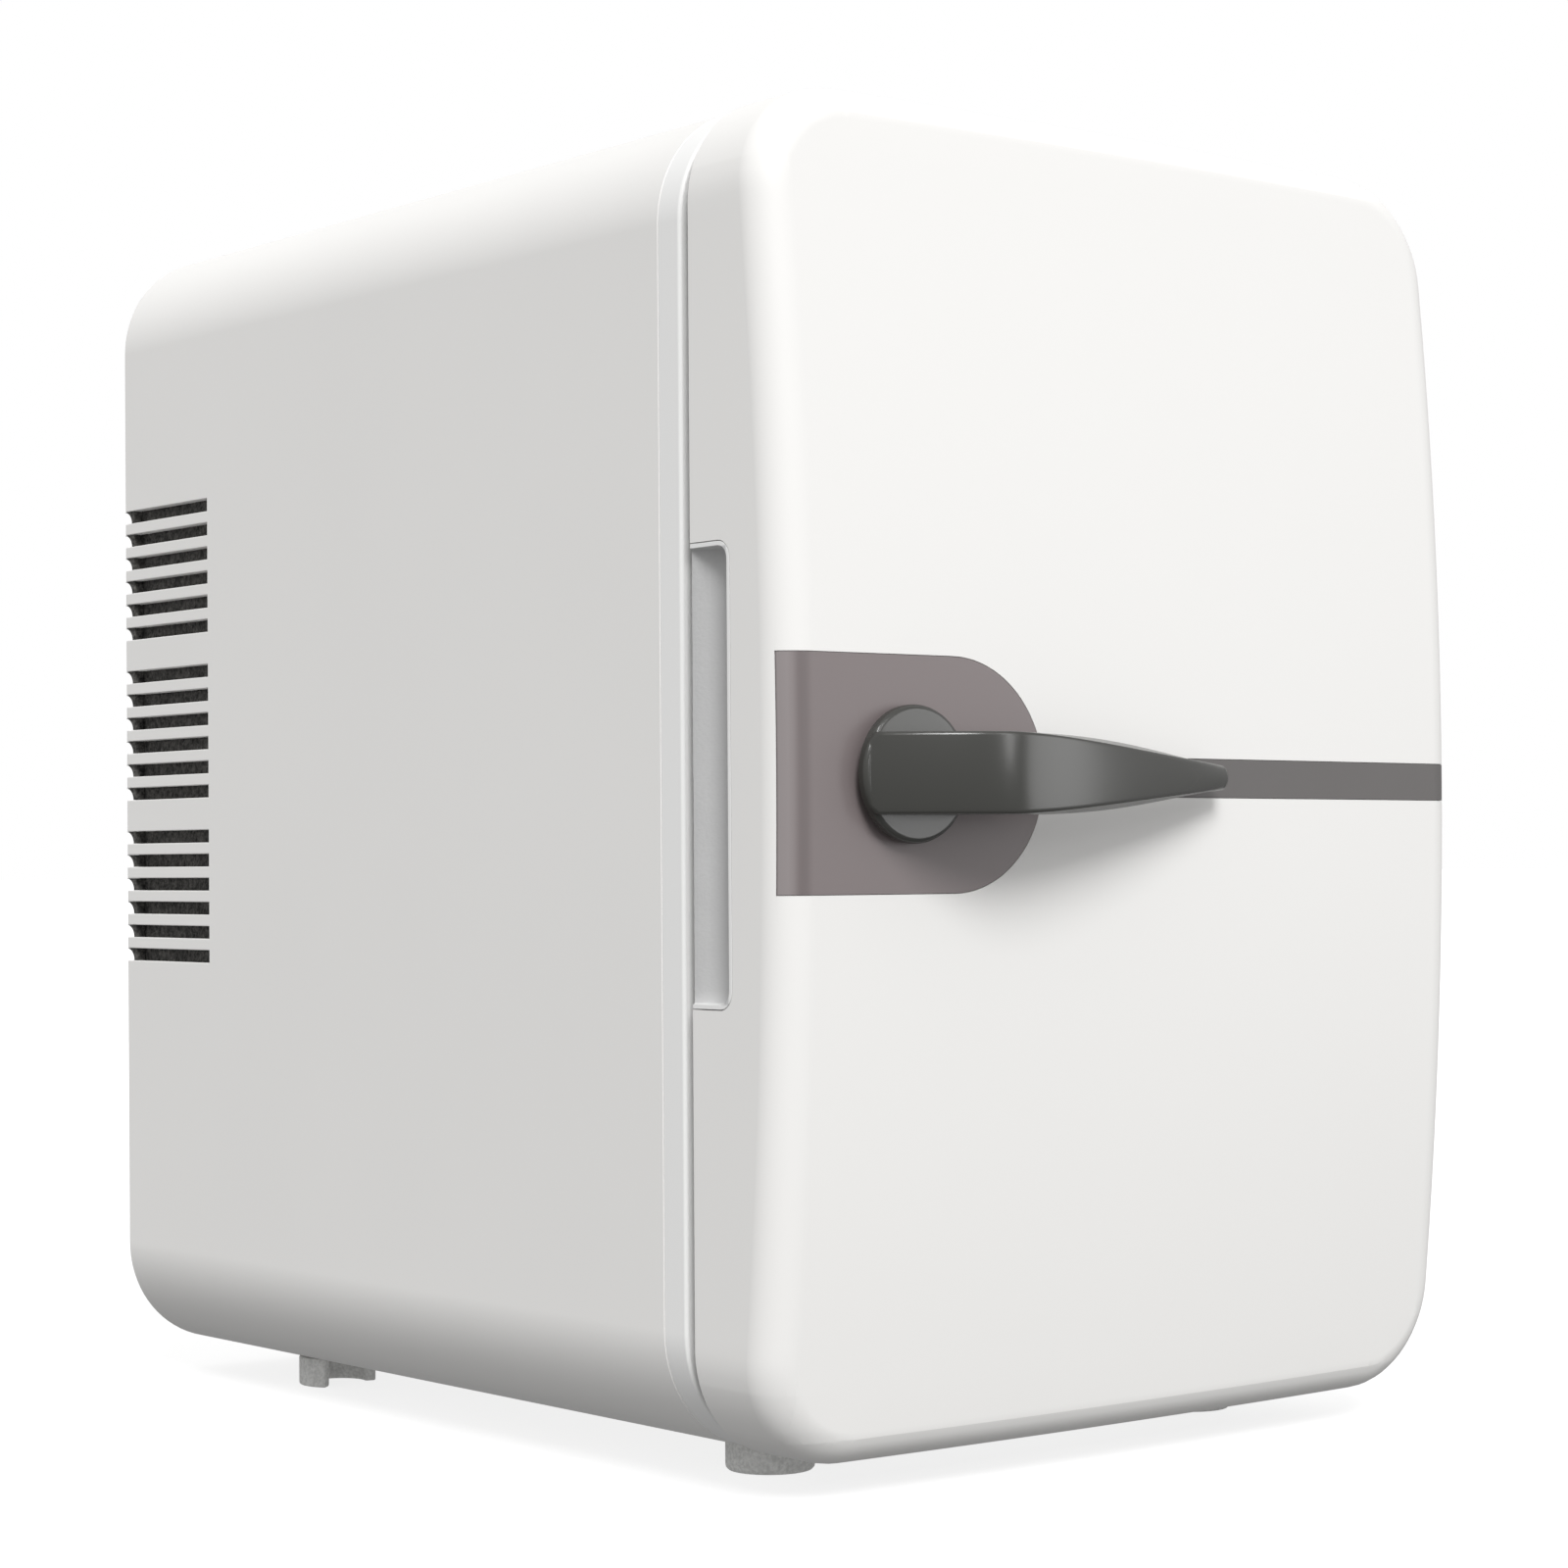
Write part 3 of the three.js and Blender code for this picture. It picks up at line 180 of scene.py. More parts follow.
def add_rod(bm, x, z, radius, y0, y1, segments=48):
    """A round bar along Y."""
    bmesh.ops.create_cone(
        bm, cap_ends=True, segments=segments, depth=y1 - y0, radius1=radius, radius2=radius,
        matrix=Matrix.Translation((x, (y0 + y1) / 2, z)) @ Matrix.Rotation(-math.pi / 2, 4, "X"))
    return bm


def rod(x, z, radius, y0, y1, segments=48):
    return add_rod(bmesh.new(), x, z, radius, y0, y1, segments)


def turned(profile, x, z, axis="Y", steps=64, y=0.0):
    """A profile of radius and height turned round a line along Y, or along Z."""
    bm = bmesh.new()
    verts = [bm.verts.new((radius, height, 0)) for radius, height in profile]
    edges = [bm.edges.new(pair) for pair in zip(verts, verts[1:])]
    bmesh.ops.spin(bm, geom=verts + edges, cent=(0, 0, 0), axis=(0, 1, 0), angle=2 * math.pi,
                   steps=steps, use_merge=True)
    bmesh.ops.remove_doubles(bm, verts=bm.verts, dist=1e-4)
    turn = Matrix.Rotation(math.pi / 2, 4, "X") if axis == "Z" else Matrix.Identity(4)
    bmesh.ops.transform(bm, matrix=Matrix.Translation((x, y, z)) @ turn, verts=bm.verts)
    return bm


def prism(points, low, high, axis="Y"):
    """A flat outline made solid: points are x, z from y low to high, or x, y from z low to high."""
    bm = bmesh.new()
    if axis == "Y":
        verts = [bm.verts.new((x, low, z)) for x, z in points]
        along = (0, high - low, 0)
    elif axis == "X":
        verts = [bm.verts.new((low, y, z)) for y, z in points]
        along = (high - low, 0, 0)
    else:
        verts = [bm.verts.new((x, y, low)) for x, y in points]
        along = (0, 0, high - low)
    face = bm.faces.new(verts)
    made = bmesh.ops.extrude_face_region(bm, geom=[face])["geom"]
    bmesh.ops.translate(bm, vec=along, verts=[part for part in made if isinstance(part, bmesh.types.BMVert)])
    bmesh.ops.recalc_face_normals(bm, faces=bm.faces)
    return bm


def arc_points(x, z, radius, start, end, steps=24):
    """Points along an arc, its angles in degrees."""
    turns = [math.radians(start + (end - start) * step / steps) for step in range(steps + 1)]
    return [(x + radius * math.cos(turn), z + radius * math.sin(turn)) for turn in turns]


def soften(bm, width, segments=3, angle=35):
    """Rounds the edges that are sharper than an angle."""
    sharp = [edge for edge in bm.edges
             if len(edge.link_faces) == 2 and edge.calc_face_angle() > math.radians(angle)]
    bmesh.ops.bevel(bm, geom=sharp, offset=width, offset_type="OFFSET", affect="EDGES",
                    segments=segments, profile=0.5, material=-1, clamp_overlap=True)
    return bm


def loose_object(bm):
    bmesh.ops.recalc_face_normals(bm, faces=bm.faces)
    mesh = bpy.data.meshes.new("loose")
    bm.to_mesh(mesh)
    bm.free()
    obj = bpy.data.objects.new("loose", mesh)
    bpy.context.scene.collection.objects.link(obj)
    return obj


def carve(bm, tool, operation="DIFFERENCE"):
    """One body cut by, joined to or cropped to another."""
    base, other = loose_object(bm), loose_object(tool)
    modifier = base.modifiers.new("carve", "BOOLEAN")
    modifier.operation = operation
    modifier.solver = "EXACT"
    modifier.object = other
    graph = bpy.context.evaluated_depsgraph_get()
    result = bmesh.new()
    result.from_object(base, graph)
    for obj in (base, other):
        mesh = obj.data
        bpy.data.objects.remove(obj)
        bpy.data.meshes.remove(mesh)
    bmesh.ops.remove_doubles(result, verts=result.verts, dist=1e-3)
    bmesh.ops.dissolve_degenerate(result, edges=result.edges, dist=1e-3)
    return result


def merge(bm, other):
    """Adds the mesh of one body to another."""
    mesh = bpy.data.meshes.new("merge")
    other.to_mesh(mesh)
    other.free()
    bm.from_mesh(mesh)
    bpy.data.meshes.remove(mesh)


def swing(bm, turn, lift):
    """Turns a body round Y and lifts it."""
    bmesh.ops.rotate(bm, cent=(0, 0, 0), matrix=Matrix.Rotation(turn, 3, "Y"), verts=bm.verts)
    bmesh.ops.translate(bm, vec=(0, 0, lift), verts=bm.verts)
    return bm


def piece(name, bm, body, material, replaces=(), edge=0.0, segments=2, angle=35):
    """Turns a body into a finished object that rides on a CAD body and stands for CAD nodes."""
    bmesh.ops.remove_doubles(bm, verts=bm.verts, dist=1e-4)
    bmesh.ops.recalc_face_normals(bm, faces=bm.faces)
    bmesh.ops.transform(bm, matrix=TO_ROW, verts=bm.verts)
    for face in bm.faces:
        face.smooth = True
    for line in bm.edges:
        line.smooth = line.calc_face_angle(0) < math.radians(angle)
    mesh = bpy.data.meshes.new(name)
    bm.to_mesh(mesh)
    bm.free()
    mesh.materials.append(material)
    obj = bpy.data.objects.new(name, mesh)
    bpy.context.scene.collection.objects.link(obj)
    if edge:
        bevel = obj.modifiers.new("edge", "BEVEL")
        bevel.width = edge * MM
        bevel.segments = segments
        bevel.limit_method = "ANGLE"
        bevel.angle_limit = math.radians(angle)
        bevel.use_clamp_overlap = True
    normals = obj.modifiers.new("normals", "WEIGHTED_NORMAL")
    normals.keep_sharp = True
    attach(obj, body)
    if replaces:
        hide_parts(*replaces)


# ---------------------------------------------------------------- finishes
class Value:
    """A number that varies over a surface, for use in Python arithmetic."""

    def __init__(self, finish, socket):
        self.finish = finish
        self.socket = socket

    def math(self, operation, *terms):
        return self.finish.node("ShaderNodeMath", {"operation": operation}, dict(enumerate(terms)))

    def __add__(self, other):
        return self.math("ADD", self, other)

    def __radd__(self, other):
        return self.math("ADD", other, self)

    def __sub__(self, other):
        return self.math("SUBTRACT", self, other)

    def __rsub__(self, other):
        return self.math("SUBTRACT", other, self)

    def __mul__(self, other):
        return self.math("MULTIPLY", self, other)

    def __rmul__(self, other):
        return self.math("MULTIPLY", other, self)


class Finish:
    """A material whose nodes are added by one method."""

    def __init__(self, name, color, roughness, metallic=0.0, coat=0.0, coat_roughness=0.1):
        self.material = bpy.data.materials.new(name)
        self.material.use_nodes = True
        self.tree = self.material.node_tree
        self.surface = self.tree.nodes["Principled BSDF"]
        self.surface.inputs["Base Color"].default_value = (*color, 1)
        self.surface.inputs["Roughness"].default_value = roughness
        self.surface.inputs["Metallic"].default_value = metallic
        self.surface.inputs["Coat Weight"].default_value = coat
        self.surface.inputs["Coat Roughness"].default_value = coat_roughness
        self.place = self.node("ShaderNodeTexCoord", output="Object")

    def node(self, kind, settings=None, inputs=None, output=0):
        """Adds a node: its settings first, then the values or links of its sockets."""
        made = self.tree.nodes.new(kind)
        for key, value in (settings or {}).items():
            setattr(made, key, value)
        for key, value in (inputs or {}).items():
            socket = made.inputs[key]
            if isinstance(value, Value):
                self.tree.links.new(value.socket, socket)
            elif socket.type == "RGBA":
                socket.default_value = (*value[:3], 1)
            else:
                socket.default_value = value
        return Value(self, made.outputs[output])

    def feed(self, **values):
        """Links values to the shader's sockets, such as Base_Color."""
        for name, value in values.items():
            self.tree.links.new(value.socket, self.surface.inputs[name.replace("_", " ")])

    def noise(self, size, detail=2.0, stretch=(1, 1, 1)):
        """Smooth noise whose features are about size metres across, drawn out along an axis."""
        place = self.node("ShaderNodeMapping", {}, {"Vector": self.place, "Scale": stretch})
        return self.node("ShaderNodeTexNoise", {}, {"Vector": place, "Scale": 1 / size, "Detail": detail})

    def cells(self, size):
        """Distance from the middle of cells about size metres across."""
        return self.node("ShaderNodeTexVoronoi", {}, {"Vector": self.place, "Scale": 1 / size})

    def along(self, axis):
        """The place along one axis, in metres."""
        return self.node("ShaderNodeSeparateXYZ", {}, {"Vector": self.place}, output=axis)

    def distance(self, value, middle):
        return self.node("ShaderNodeMath", {"operation": "ABSOLUTE"}, {0: value - middle})

    def spread(self, value, low, high):
        """Stretches the part of a value between low and high over 0 to 1."""
        return self.node("ShaderNodeMapRange", {}, {"Value": value, "From Min": low, "From Max": high})

    def blend(self, factor, first, second):
        """Mixes two colours by a varying factor."""
        return self.node("ShaderNodeMix", {"data_type": "RGBA"}, {0: factor, 6: first, 7: second}, output=2)

    def bump(self, height, distance):
        self.feed(Normal=self.node("ShaderNodeBump", {}, {"Height": height, "Distance": distance}))


FINE_GRAIN = 0.0004


def linear(red, green, blue):
    """A colour given in display values from 0 to 255."""
    def convert(value):
        share = value / 255
        return share / 12.92 if share <= 0.04045 else ((share + 0.055) / 1.055) ** 2.4
    return tuple(convert(value) for value in (red, green, blue))


def shaded(color, factor):
    return tuple(min(channel * factor, 1) for channel in color)


def moulded(name, color, roughness, grain=FINE_GRAIN, depth=0.000004, drift=0.015, coat=0.0,
            coat_roughness=0.15):
    """Moulded plastic: spark-eroded grain, slow drifts of tone, and gloss that handling has evened out."""
    finish = Finish(name, color, roughness, coat=coat, coat_roughness=coat_roughness)
    slow = finish.noise(0.05, 3)
    fine = finish.noise(grain, 2)
    smudge = finish.spread(finish.noise(0.018, 5), 0.45, 0.7)
    finish.feed(
        Base_Color=finish.blend(slow, shaded(color, 1 - drift), shaded(color, 1 + drift)),
        Roughness=roughness + 0.05 * (slow - 0.5) + 0.06 * (fine - 0.5) - 0.015 * smudge)
    finish.bump(fine, depth)
    return finish.material


def plate_plastic(name, color):
    """Satin plastic with painted shade as a darker line along the fold near its left edge, and a painted
    highlight as a lighter strip on the edge beyond the fold.
    """
    finish = Finish(name, color, 0.45)
    across = finish.along("X")
    fold = ORIGIN.x + PLATE_FOLD * MM
    # Painted shade along the fold where the plate bends round the door's edge, and a painted highlight on the
    # rounded strip left of it.
    line = finish.spread(finish.distance(across, fold), 0.0016, 0.0004)
    edge = finish.spread(across, fold - 0.0008, fold - 0.0024)
    slow = finish.noise(0.03, 3)
    fine = finish.noise(FINE_GRAIN, 2)
    ground = finish.blend(slow, shaded(color, 0.98), shaded(color, 1.02))
    with_painted_fold_shade = finish.blend(0.3 * line, ground, shaded(color, 0.4))
    finish.feed(
        Base_Color=finish.blend(0.12 * edge, with_painted_fold_shade, (0.8, 0.78, 0.78)),
        Roughness=0.45 + 0.05 * (slow - 0.5) + 0.04 * (fine - 0.5))
    finish.bump(fine, 0.0000015)
    return finish.material


def cup_plastic(name, rim, floor):
    """A smooth rim around a darker sparked floor. The floor's darker tone is partly its sparked finish and
    partly painted shade of the recess, and painted shade darkens it further towards the rear, where it rises
    to the light.
    """
    finish = Finish(name, floor, 0.6)
    outside, within = 0.0001, 0.0003
    along = finish.along("Y")
    lip = ORIGIN.y + RECESS_FRONT * MM
    half = RECESS_HALF * MM
    upward = finish.distance(finish.along("Z"), ORIGIN.z)
    inside = finish.spread(along, lip - outside, lip + within) * finish.spread(
        upward, half + outside, half - within)
    # Painted shade: the floor is darkened towards the open rear of the recess, where more light reaches it.
    painted_rear_shade = finish.spread(along, lip + 0.005, ORIGIN.y)
    ground = finish.blend(painted_rear_shade, shaded(floor, 1.04), shaded(floor, 0.76))
    grain = finish.noise(0.0006, 4)
    patch = finish.noise(0.004, 3)
    mottled = finish.blend(0.3 * grain + 0.2 * patch, ground, shaded(floor, 1.2))
    finish.feed(
        Base_Color=finish.blend(inside, rim, mottled),
        Roughness=0.5 + 0.3 * inside * grain)
    finish.bump(inside * grain, 0.00006)
    return finish.material


def band_plastic_with_painted_shade(name, color):
    """Moulded plastic with painted shade on its outer edge, standing for the shade in the groove around the
    door.
    """
    finish = Finish(name, color, 0.45)
    from_core = []
    for axis, middle, half in (("X", ORIGIN.x, SIDE), ("Z", ORIGIN.z, TOP)):
        past = finish.distance(finish.along(axis), middle) - (half - CORNER) * MM
        from_core.append(past.math("MAXIMUM", past, 0))
    across, upward = from_core
    outward = across.math("SQRT", across * across + upward * upward)
    rim = finish.spread(outward, (CORNER - 1.3) * MM, (CORNER - 0.7) * MM)
    groove = finish.spread(finish.along("Y"), ORIGIN.y + 0.0022, ORIGIN.y + 0.0003)
    slow = finish.noise(0.05, 3)
    fine = finish.noise(FINE_GRAIN, 2)
    # Painted shade: the outer round of the band and the edge of its front face are darkened towards black
    # near the groove.
    finish.feed(
        Base_Color=finish.blend(0.48 * rim * groove, color, (0, 0, 0)),
        Roughness=0.45 + 0.05 * (slow - 0.5) + 0.06 * (fine - 0.5))
    finish.bump(fine, 0.000004)
    return finish.material


def rubber(name, color):
    """Matt rubber with a coarse speckle."""
    finish = Finish(name, color, 0.85)
    speckle = finish.noise(0.0007, 4)
    patch = finish.noise(0.006, 3)
    tone = 0.7 * finish.spread(speckle, 0.35, 0.65) + 0.3 * patch
    finish.feed(
        Base_Color=finish.blend(tone, shaded(color, 0.8), shaded(color, 1.2)),
        Roughness=0.8 + 0.15 * (speckle - 0.5))
    finish.bump(speckle, 0.00008)
    return finish.material


def metal(name, color, roughness, stretch):
    """Drawn or rolled metal with fine lines along one way."""
    finish = Finish(name, color, roughness, metallic=1.0)
    lines = finish.noise(0.0015, 4, stretch)
    finish.feed(
        Base_Color=finish.blend(lines, shaded(color, 0.85), shaded(color, 1.1)),
        Roughness=roughness + 0.2 * (lines - 0.5))
    finish.bump(lines, 0.000006)
    return finish.material


def foamed(name, color, cell, depth, low, high):
    """Foam: cells of mixed sizes, dark in their middles."""
    finish = Finish(name, color, 0.95)
    cells = finish.cells(cell)
    patch = finish.noise(cell * 1.5, 4)
    tone = 0.4 * cells + 0.8 * finish.spread(patch, 0.35, 0.7)
    finish.feed(
        Base_Color=finish.blend(tone, shaded(color, low), shaded(color, high)),
        Roughness=0.9 + 0.08 * cells)
    finish.bump(cells, depth)
    return finish.material


def board(name, color):
    """Solder mask over copper tracks."""
    finish = Finish(name, color, 0.35, coat=0.4)
    place = finish.node("ShaderNodeMapping", {}, {"Vector": finish.place, "Rotation": (math.pi / 2, 0, 0)})
    tracks = finish.node("ShaderNodeTexBrick", {}, {"Vector": place, "Scale": 90.0, "Mortar Size": 0.03},
                         output="Fac")
    finish.feed(Base_Color=finish.blend(tracks, color, shaded(color, 1.9)), Roughness=0.3 + 0.15 * tracks)
    finish.bump(tracks, 0.00003)
    return finish.material


def lens(name, color):
    """Clear tinted plastic with a ribbed inside."""
    finish = Finish(name, color, 0.12, coat=1.0, coat_roughness=0.05)
    ribs = finish.node("ShaderNodeTexWave", {}, {"Vector": finish.place, "Scale": 400.0}, output="Fac")
    finish.feed(Base_Color=finish.blend(ribs, shaded(color, 0.7), shaded(color, 1.2)))
    return finish.material


WHITE = linear(231, 230, 228)
SHELL = moulded("shell plastic", WHITE, 0.5)
FRAME = moulded("frame plastic", linear(234, 234, 233), 0.45, drift=0.01)
DOOR = moulded("door plastic", WHITE, 0.58, depth=0.000002, drift=0.006)
# The band's finish carries painted shade along the groove round the door.
BAND_WITH_PAINTED_SHADE = band_plastic_with_painted_shade("band plastic with painted shade", linear(234, 234, 233))
# The cup's floor colour, darker than its rim, is partly painted shade of the recess.
CUP = cup_plastic("cup plastic", linear(232, 232, 231), linear(186, 186, 186))
LINER = moulded("liner plastic", linear(236, 237, 238), 0.3, grain=0.0008, drift=0.01)
PLATE = plate_plastic("plate plastic", linear(118, 109, 109))
STRIPE = moulded("stripe plastic", linear(92, 89, 88), 0.55, depth=0.0000015)
LEVER = moulded("lever plastic", linear(55, 55, 52), 0.24, grain=0.0003, depth=0.000001, coat=0.1,
                coat_roughness=0.2)
BLACK = moulded("black plastic", linear(38, 38, 39), 0.5, grain=0.0006, depth=0.00001, drift=0.1)
FOOT = rubber("foot rubber", linear(212, 212, 210))
SEAL = rubber("seal rubber", linear(172, 173, 174))
ALUMINIUM = metal("aluminium", (0.62, 0.64, 0.66), 0.35, (1, 1, 0.04))
STEEL = metal("zinc-plated steel", (0.55, 0.56, 0.57), 0.3, (0.05, 1, 1))
FOAM = foamed("poured foam", linear(228, 220, 190), 0.0014, 0.0003, 0.75, 1.15)
# Dark filter foam: its darkness is partly painted shade for the inside of the louvre slots.
FILTER_FOAM_AND_PAINTED_SHADE = foamed("filter foam and painted shade", linear(62, 61, 59), 0.0008, 0.0005, 0.15, 2.2)
BOARD = board("circuit board", linear(46, 107, 69))
CERAMIC = moulded("ceramic", linear(235, 234, 228), 0.6, drift=0.02)
GREEN = lens("green lens", linear(70, 170, 95))
RED = lens("red lens", linear(180, 62, 52))

SLOT_FINISH = {
    "shell_plastic": SHELL, "frame_plastic": FRAME, "door_plastic": DOOR, "liner_plastic": LINER,
    "plate_plastic": PLATE, "stripe_plastic": STRIPE, "lever_plastic": LEVER, "black_plastic": BLACK,
    "foot_rubber": FOOT, "seal_rubber": SEAL, "aluminium": ALUMINIUM, "steel": STEEL, "foam": FOAM,
    "filter_foam": FILTER_FOAM_AND_PAINTED_SHADE, "circuit_board": BOARD, "ceramic": CERAMIC, "green_lens": GREEN, "red_lens": RED,
}
SLOT_OF = {part["node"]: part["material_slot"] for part in frame["record"]["subparts"]}


def finish_cad_nodes():
    """Every CAD node takes the finish of its slot; the fine pieces made below then stand for most."""
    for node, slot in SLOT_OF.items():
        mesh = nodes[node].data
        mesh.materials.clear()
        mesh.materials.append(SLOT_FINISH[slot])


# ---------------------------------------------------------------- camera, light and floor
# The camera's place is in the working space; its azimuth is its turn away from looking straight back.
CAMERA_PLACE = Vector((-460.1, -486.8, -15.6))
CAMERA_AZIMUTH = math.radians(38.995)
CAMERA_PITCH = math.radians(0.29)
CAMERA_ROLL = math.radians(-0.378)
CAMERA_LENS = 79.43
CAMERA_SHIFT = 0.0398


def make_camera():
    data = bpy.data.cameras.new("camera")
    data.lens = CAMERA_LENS
    data.sensor_width = 36
    data.shift_y = CAMERA_SHIFT
    data.clip_end = 50
    camera = bpy.data.objects.new("camera", data)
    ahead = Vector((math.sin(CAMERA_AZIMUTH) * math.cos(CAMERA_PITCH),
                    math.cos(CAMERA_AZIMUTH) * math.cos(CAMERA_PITCH), math.sin(CAMERA_PITCH)))
    level = Vector((math.cos(CAMERA_AZIMUTH), -math.sin(CAMERA_AZIMUTH), 0))
    above = level.cross(ahead)
    across = math.cos(CAMERA_ROLL) * level + math.sin(CAMERA_ROLL) * above
    upright = across.cross(ahead)
    turn = Matrix((across, upright, -ahead)).transposed().to_4x4()
    camera.matrix_world = Matrix.Translation(TO_ROW @ CAMERA_PLACE) @ turn
    bpy.context.scene.collection.objects.link(camera)
    bpy.context.scene.camera = camera


def add_light(kind, name, place, target, energy, **settings):
    """A light at a place in metres, turned to a target; only the sun adds more than a reflection."""
    data = bpy.data.lights.new(name, kind)
    data.energy = energy
    for key, value in settings.items():
        setattr(data, key, value)
    light = bpy.data.objects.new(name, data)
    light.location = place
    light.rotation_euler = (Vector(target) - Vector(place)).to_track_quat("-Z", "Y").to_euler()
    light.visible_diffuse = kind == "SUN"
    bpy.context.scene.collection.objects.link(light)


def make_lights():
    """A soft key from above the left of the door, a box at its right and a strip ahead of it."""
    middle = (0, 0, 0.13)
    add_light("SUN", "key", (-0.66, -1.36, 1.45), middle, 2.45, angle=math.radians(24))
    add_light("AREA", "right box", (1.4, -1.5, 0.34), middle, 8.5, shape="SQUARE", size=1.0)
    add_light("AREA", "front strip", (0.32, -2.2, 1.0), middle, 8, shape="RECTANGLE", size=0.26, size_y=1.5)


def make_surroundings():
    """A room that is light above and dim below, and plain white where the camera looks past the fridge."""
    world = bpy.data.worlds.new("studio")
    bpy.context.scene.world = world
    world.use_nodes = True
    tree = world.node_tree
    background = tree.nodes["Background"]
    background.inputs["Color"].default_value = (1, 1, 1, 1)
    direction = tree.nodes.new("ShaderNodeTexCoord")
    parts = tree.nodes.new("ShaderNodeSeparateXYZ")
    light = tree.nodes.new("ShaderNodeMapRange")
    light.interpolation_type = "SMOOTHSTEP"
    for key, value in {"From Min": -0.75, "From Max": 0.45, "To Min": 0.24, "To Max": 0.76}.items():
        light.inputs[key].default_value = value
    path = tree.nodes.new("ShaderNodeLightPath")
    seen = tree.nodes.new("ShaderNodeMix")
    seen.inputs["B"].default_value = 1
    for source, target in (
            (direction.outputs["Generated"], parts.inputs["Vector"]),
            (parts.outputs["Z"], light.inputs["Value"]),
            (path.outputs["Is Camera Ray"], seen.inputs["Factor"]),
            (light.outputs["Result"], seen.inputs["A"]),
            (seen.outputs["Result"], background.inputs["Strength"])):
        tree.links.new(source, target)
    bpy.context.scene.view_settings.view_transform = "Standard"
    bpy.context.scene.view_settings.look = "None"


def make_floor():
    """A pale floor that takes the fridge's shadow without throwing light back up at it."""
    finish = Finish("floor", (0.3, 0.3, 0.3), 0.9)
    finish.surface.inputs["Emission Color"].default_value = (1, 1, 1, 1)
    finish.surface.inputs["Emission Strength"].default_value = 0.78
    slow = finish.noise(0.4, 2)
    finish.feed(Base_Color=finish.blend(slow, (0.29, 0.29, 0.29), (0.31, 0.31, 0.31)))
    bm = bmesh.new()
    bmesh.ops.create_grid(bm, x_segments=1, y_segments=1, size=30)
    mesh = bpy.data.meshes.new("floor")
    bm.to_mesh(mesh)
    bm.free()
    mesh.materials.append(finish.material)
    plane = bpy.data.objects.new("floor", mesh)
    plane.visible_diffuse = False
    plane.visible_glossy = False
    plane.visible_shadow = False
    bpy.context.scene.collection.objects.link(plane)


# ---------------------------------------------------------------- cabinet
def cabinet_section(inset, y):
    return (WIDTH - 2 * inset, HEIGHT - 2 * inset, max(CORNER - inset, 8), y)


LOUVRE_FRONT = 170.2
LOUVRE_HEIGHT = 2.75
LOUVRE_PITCH = 5.2
LOUVRE_TOPS = (64, 28.3, -7.4)
LOUVRES_PER_GROUP = 6


def louvre_tops():
    return [top - row * LOUVRE_PITCH for top in LOUVRE_TOPS for row in range(LOUVRES_PER_GROUP)]


def cabinet_sleeve():
    edge = 1.4
    rear_round = [cabinet_section(edge * pull, REAR - edge + edge * reach) for pull, reach in rounded_end(5)]
    sleeve = outline_body(
        [cabinet_section(0.04, SEAM - 0.15), cabinet_section(0, SEAM), *rear_round,
         cabinet_section(WALL, REAR), cabinet_section(WALL, SEAM - 0.15)], closed=True, arc=20)
    slots = bmesh.new()
    for side in (-1, 1):
        for high in louvre_tops():
            walls = sorted((side * (SIDE + 2), side * (SIDE - WALL - 2)))
            add_box(slots, (walls[0], LOUVRE_FRONT, high - LOUVRE_HEIGHT), (walls[1], REAR + 1, high))
    piece("cabinet_sleeve", carve(sleeve, slots), "cabinet", SHELL, ["outer_shell"], edge=0.2)


def filter_pads():
    """Dark foam behind the louvres, with a tongue in each slot that ends in a curve at the rear; their
    darkness is partly painted shade, standing for the shade inside the slots.
    """
    reach = 3.2
    for side, node in ((-1, "air_filter_left"), (1, "air_filter_right")):
        low, high = local_box(node)
        pad = box(low, high)
        curve = [(REAR - reach * math.cos(turn), math.sin(turn))
                 for turn in (math.radians(8 * step) for step in range(1, 12))]
        inner = side * (SIDE - WALL - 0.1)
        outer = side * (SIDE - 0.35)
        for top in louvre_tops():
            bottom = top - LOUVRE_HEIGHT + 0.05
            outline = [(REAR - reach - 1, top - 0.05), (REAR - reach - 1, bottom), (REAR - reach, bottom)]
            outline += [(y, bottom + (LOUVRE_HEIGHT - 0.15) * share) for y, share in curve]
            outline += [(REAR - 0.2, top - 0.05)]
            merge(pad, prism(outline, min(inner, outer), max(inner, outer), "X"))
        piece(node.replace("air_filter", "filter_pad"), pad, "cabinet", FILTER_FOAM_AND_PAINTED_SHADE, [node])


def front_band():
    """A ring with a rounded outer edge, a rounded mouth and a spigot inside the sleeve."""
    front = local_box("front_frame")[0].y
    deep = front + 7.2
    band = SEAM - 0.3
    inset, edge, mouth_edge = 0.06, 0.7, 1.2
    spigot, spigot_end = WALL + 0.4, WALL + 2

    def opening(grow, y):
        return (CAVITY_WIDTH + 2 * grow, CAVITY_HEIGHT + 2 * grow, CAVITY_CORNER + grow, y)

    sections = [cabinet_section(inset + edge * (1 - reach), front + edge * pull)
                for pull, reach in rounded_end(5)]
    sections += [cabinet_section(inset, band + 0.02), cabinet_section(0.2, band + 0.1),
                 cabinet_section(spigot, band), cabinet_section(spigot, band + 6),
                 cabinet_section(spigot_end, band + 6), cabinet_section(spigot_end, deep), opening(0, deep)]
    sections += [opening(mouth_edge * pull, front + mouth_edge * (1 - reach))
                 for pull, reach in rounded_end(5)]
    low, high = local_box("keeper")
    mouth = box((low.x - GAP, low.y - GAP, low.z - GAP), (-CAVITY_WIDTH / 2 + 1, high.y + GAP, high.z + GAP))
    body = carve(outline_body(sections, closed=True, arc=16), mouth)
    piece("front_band", body, "cabinet", BAND_WITH_PAINTED_SHADE, ["front_frame"])


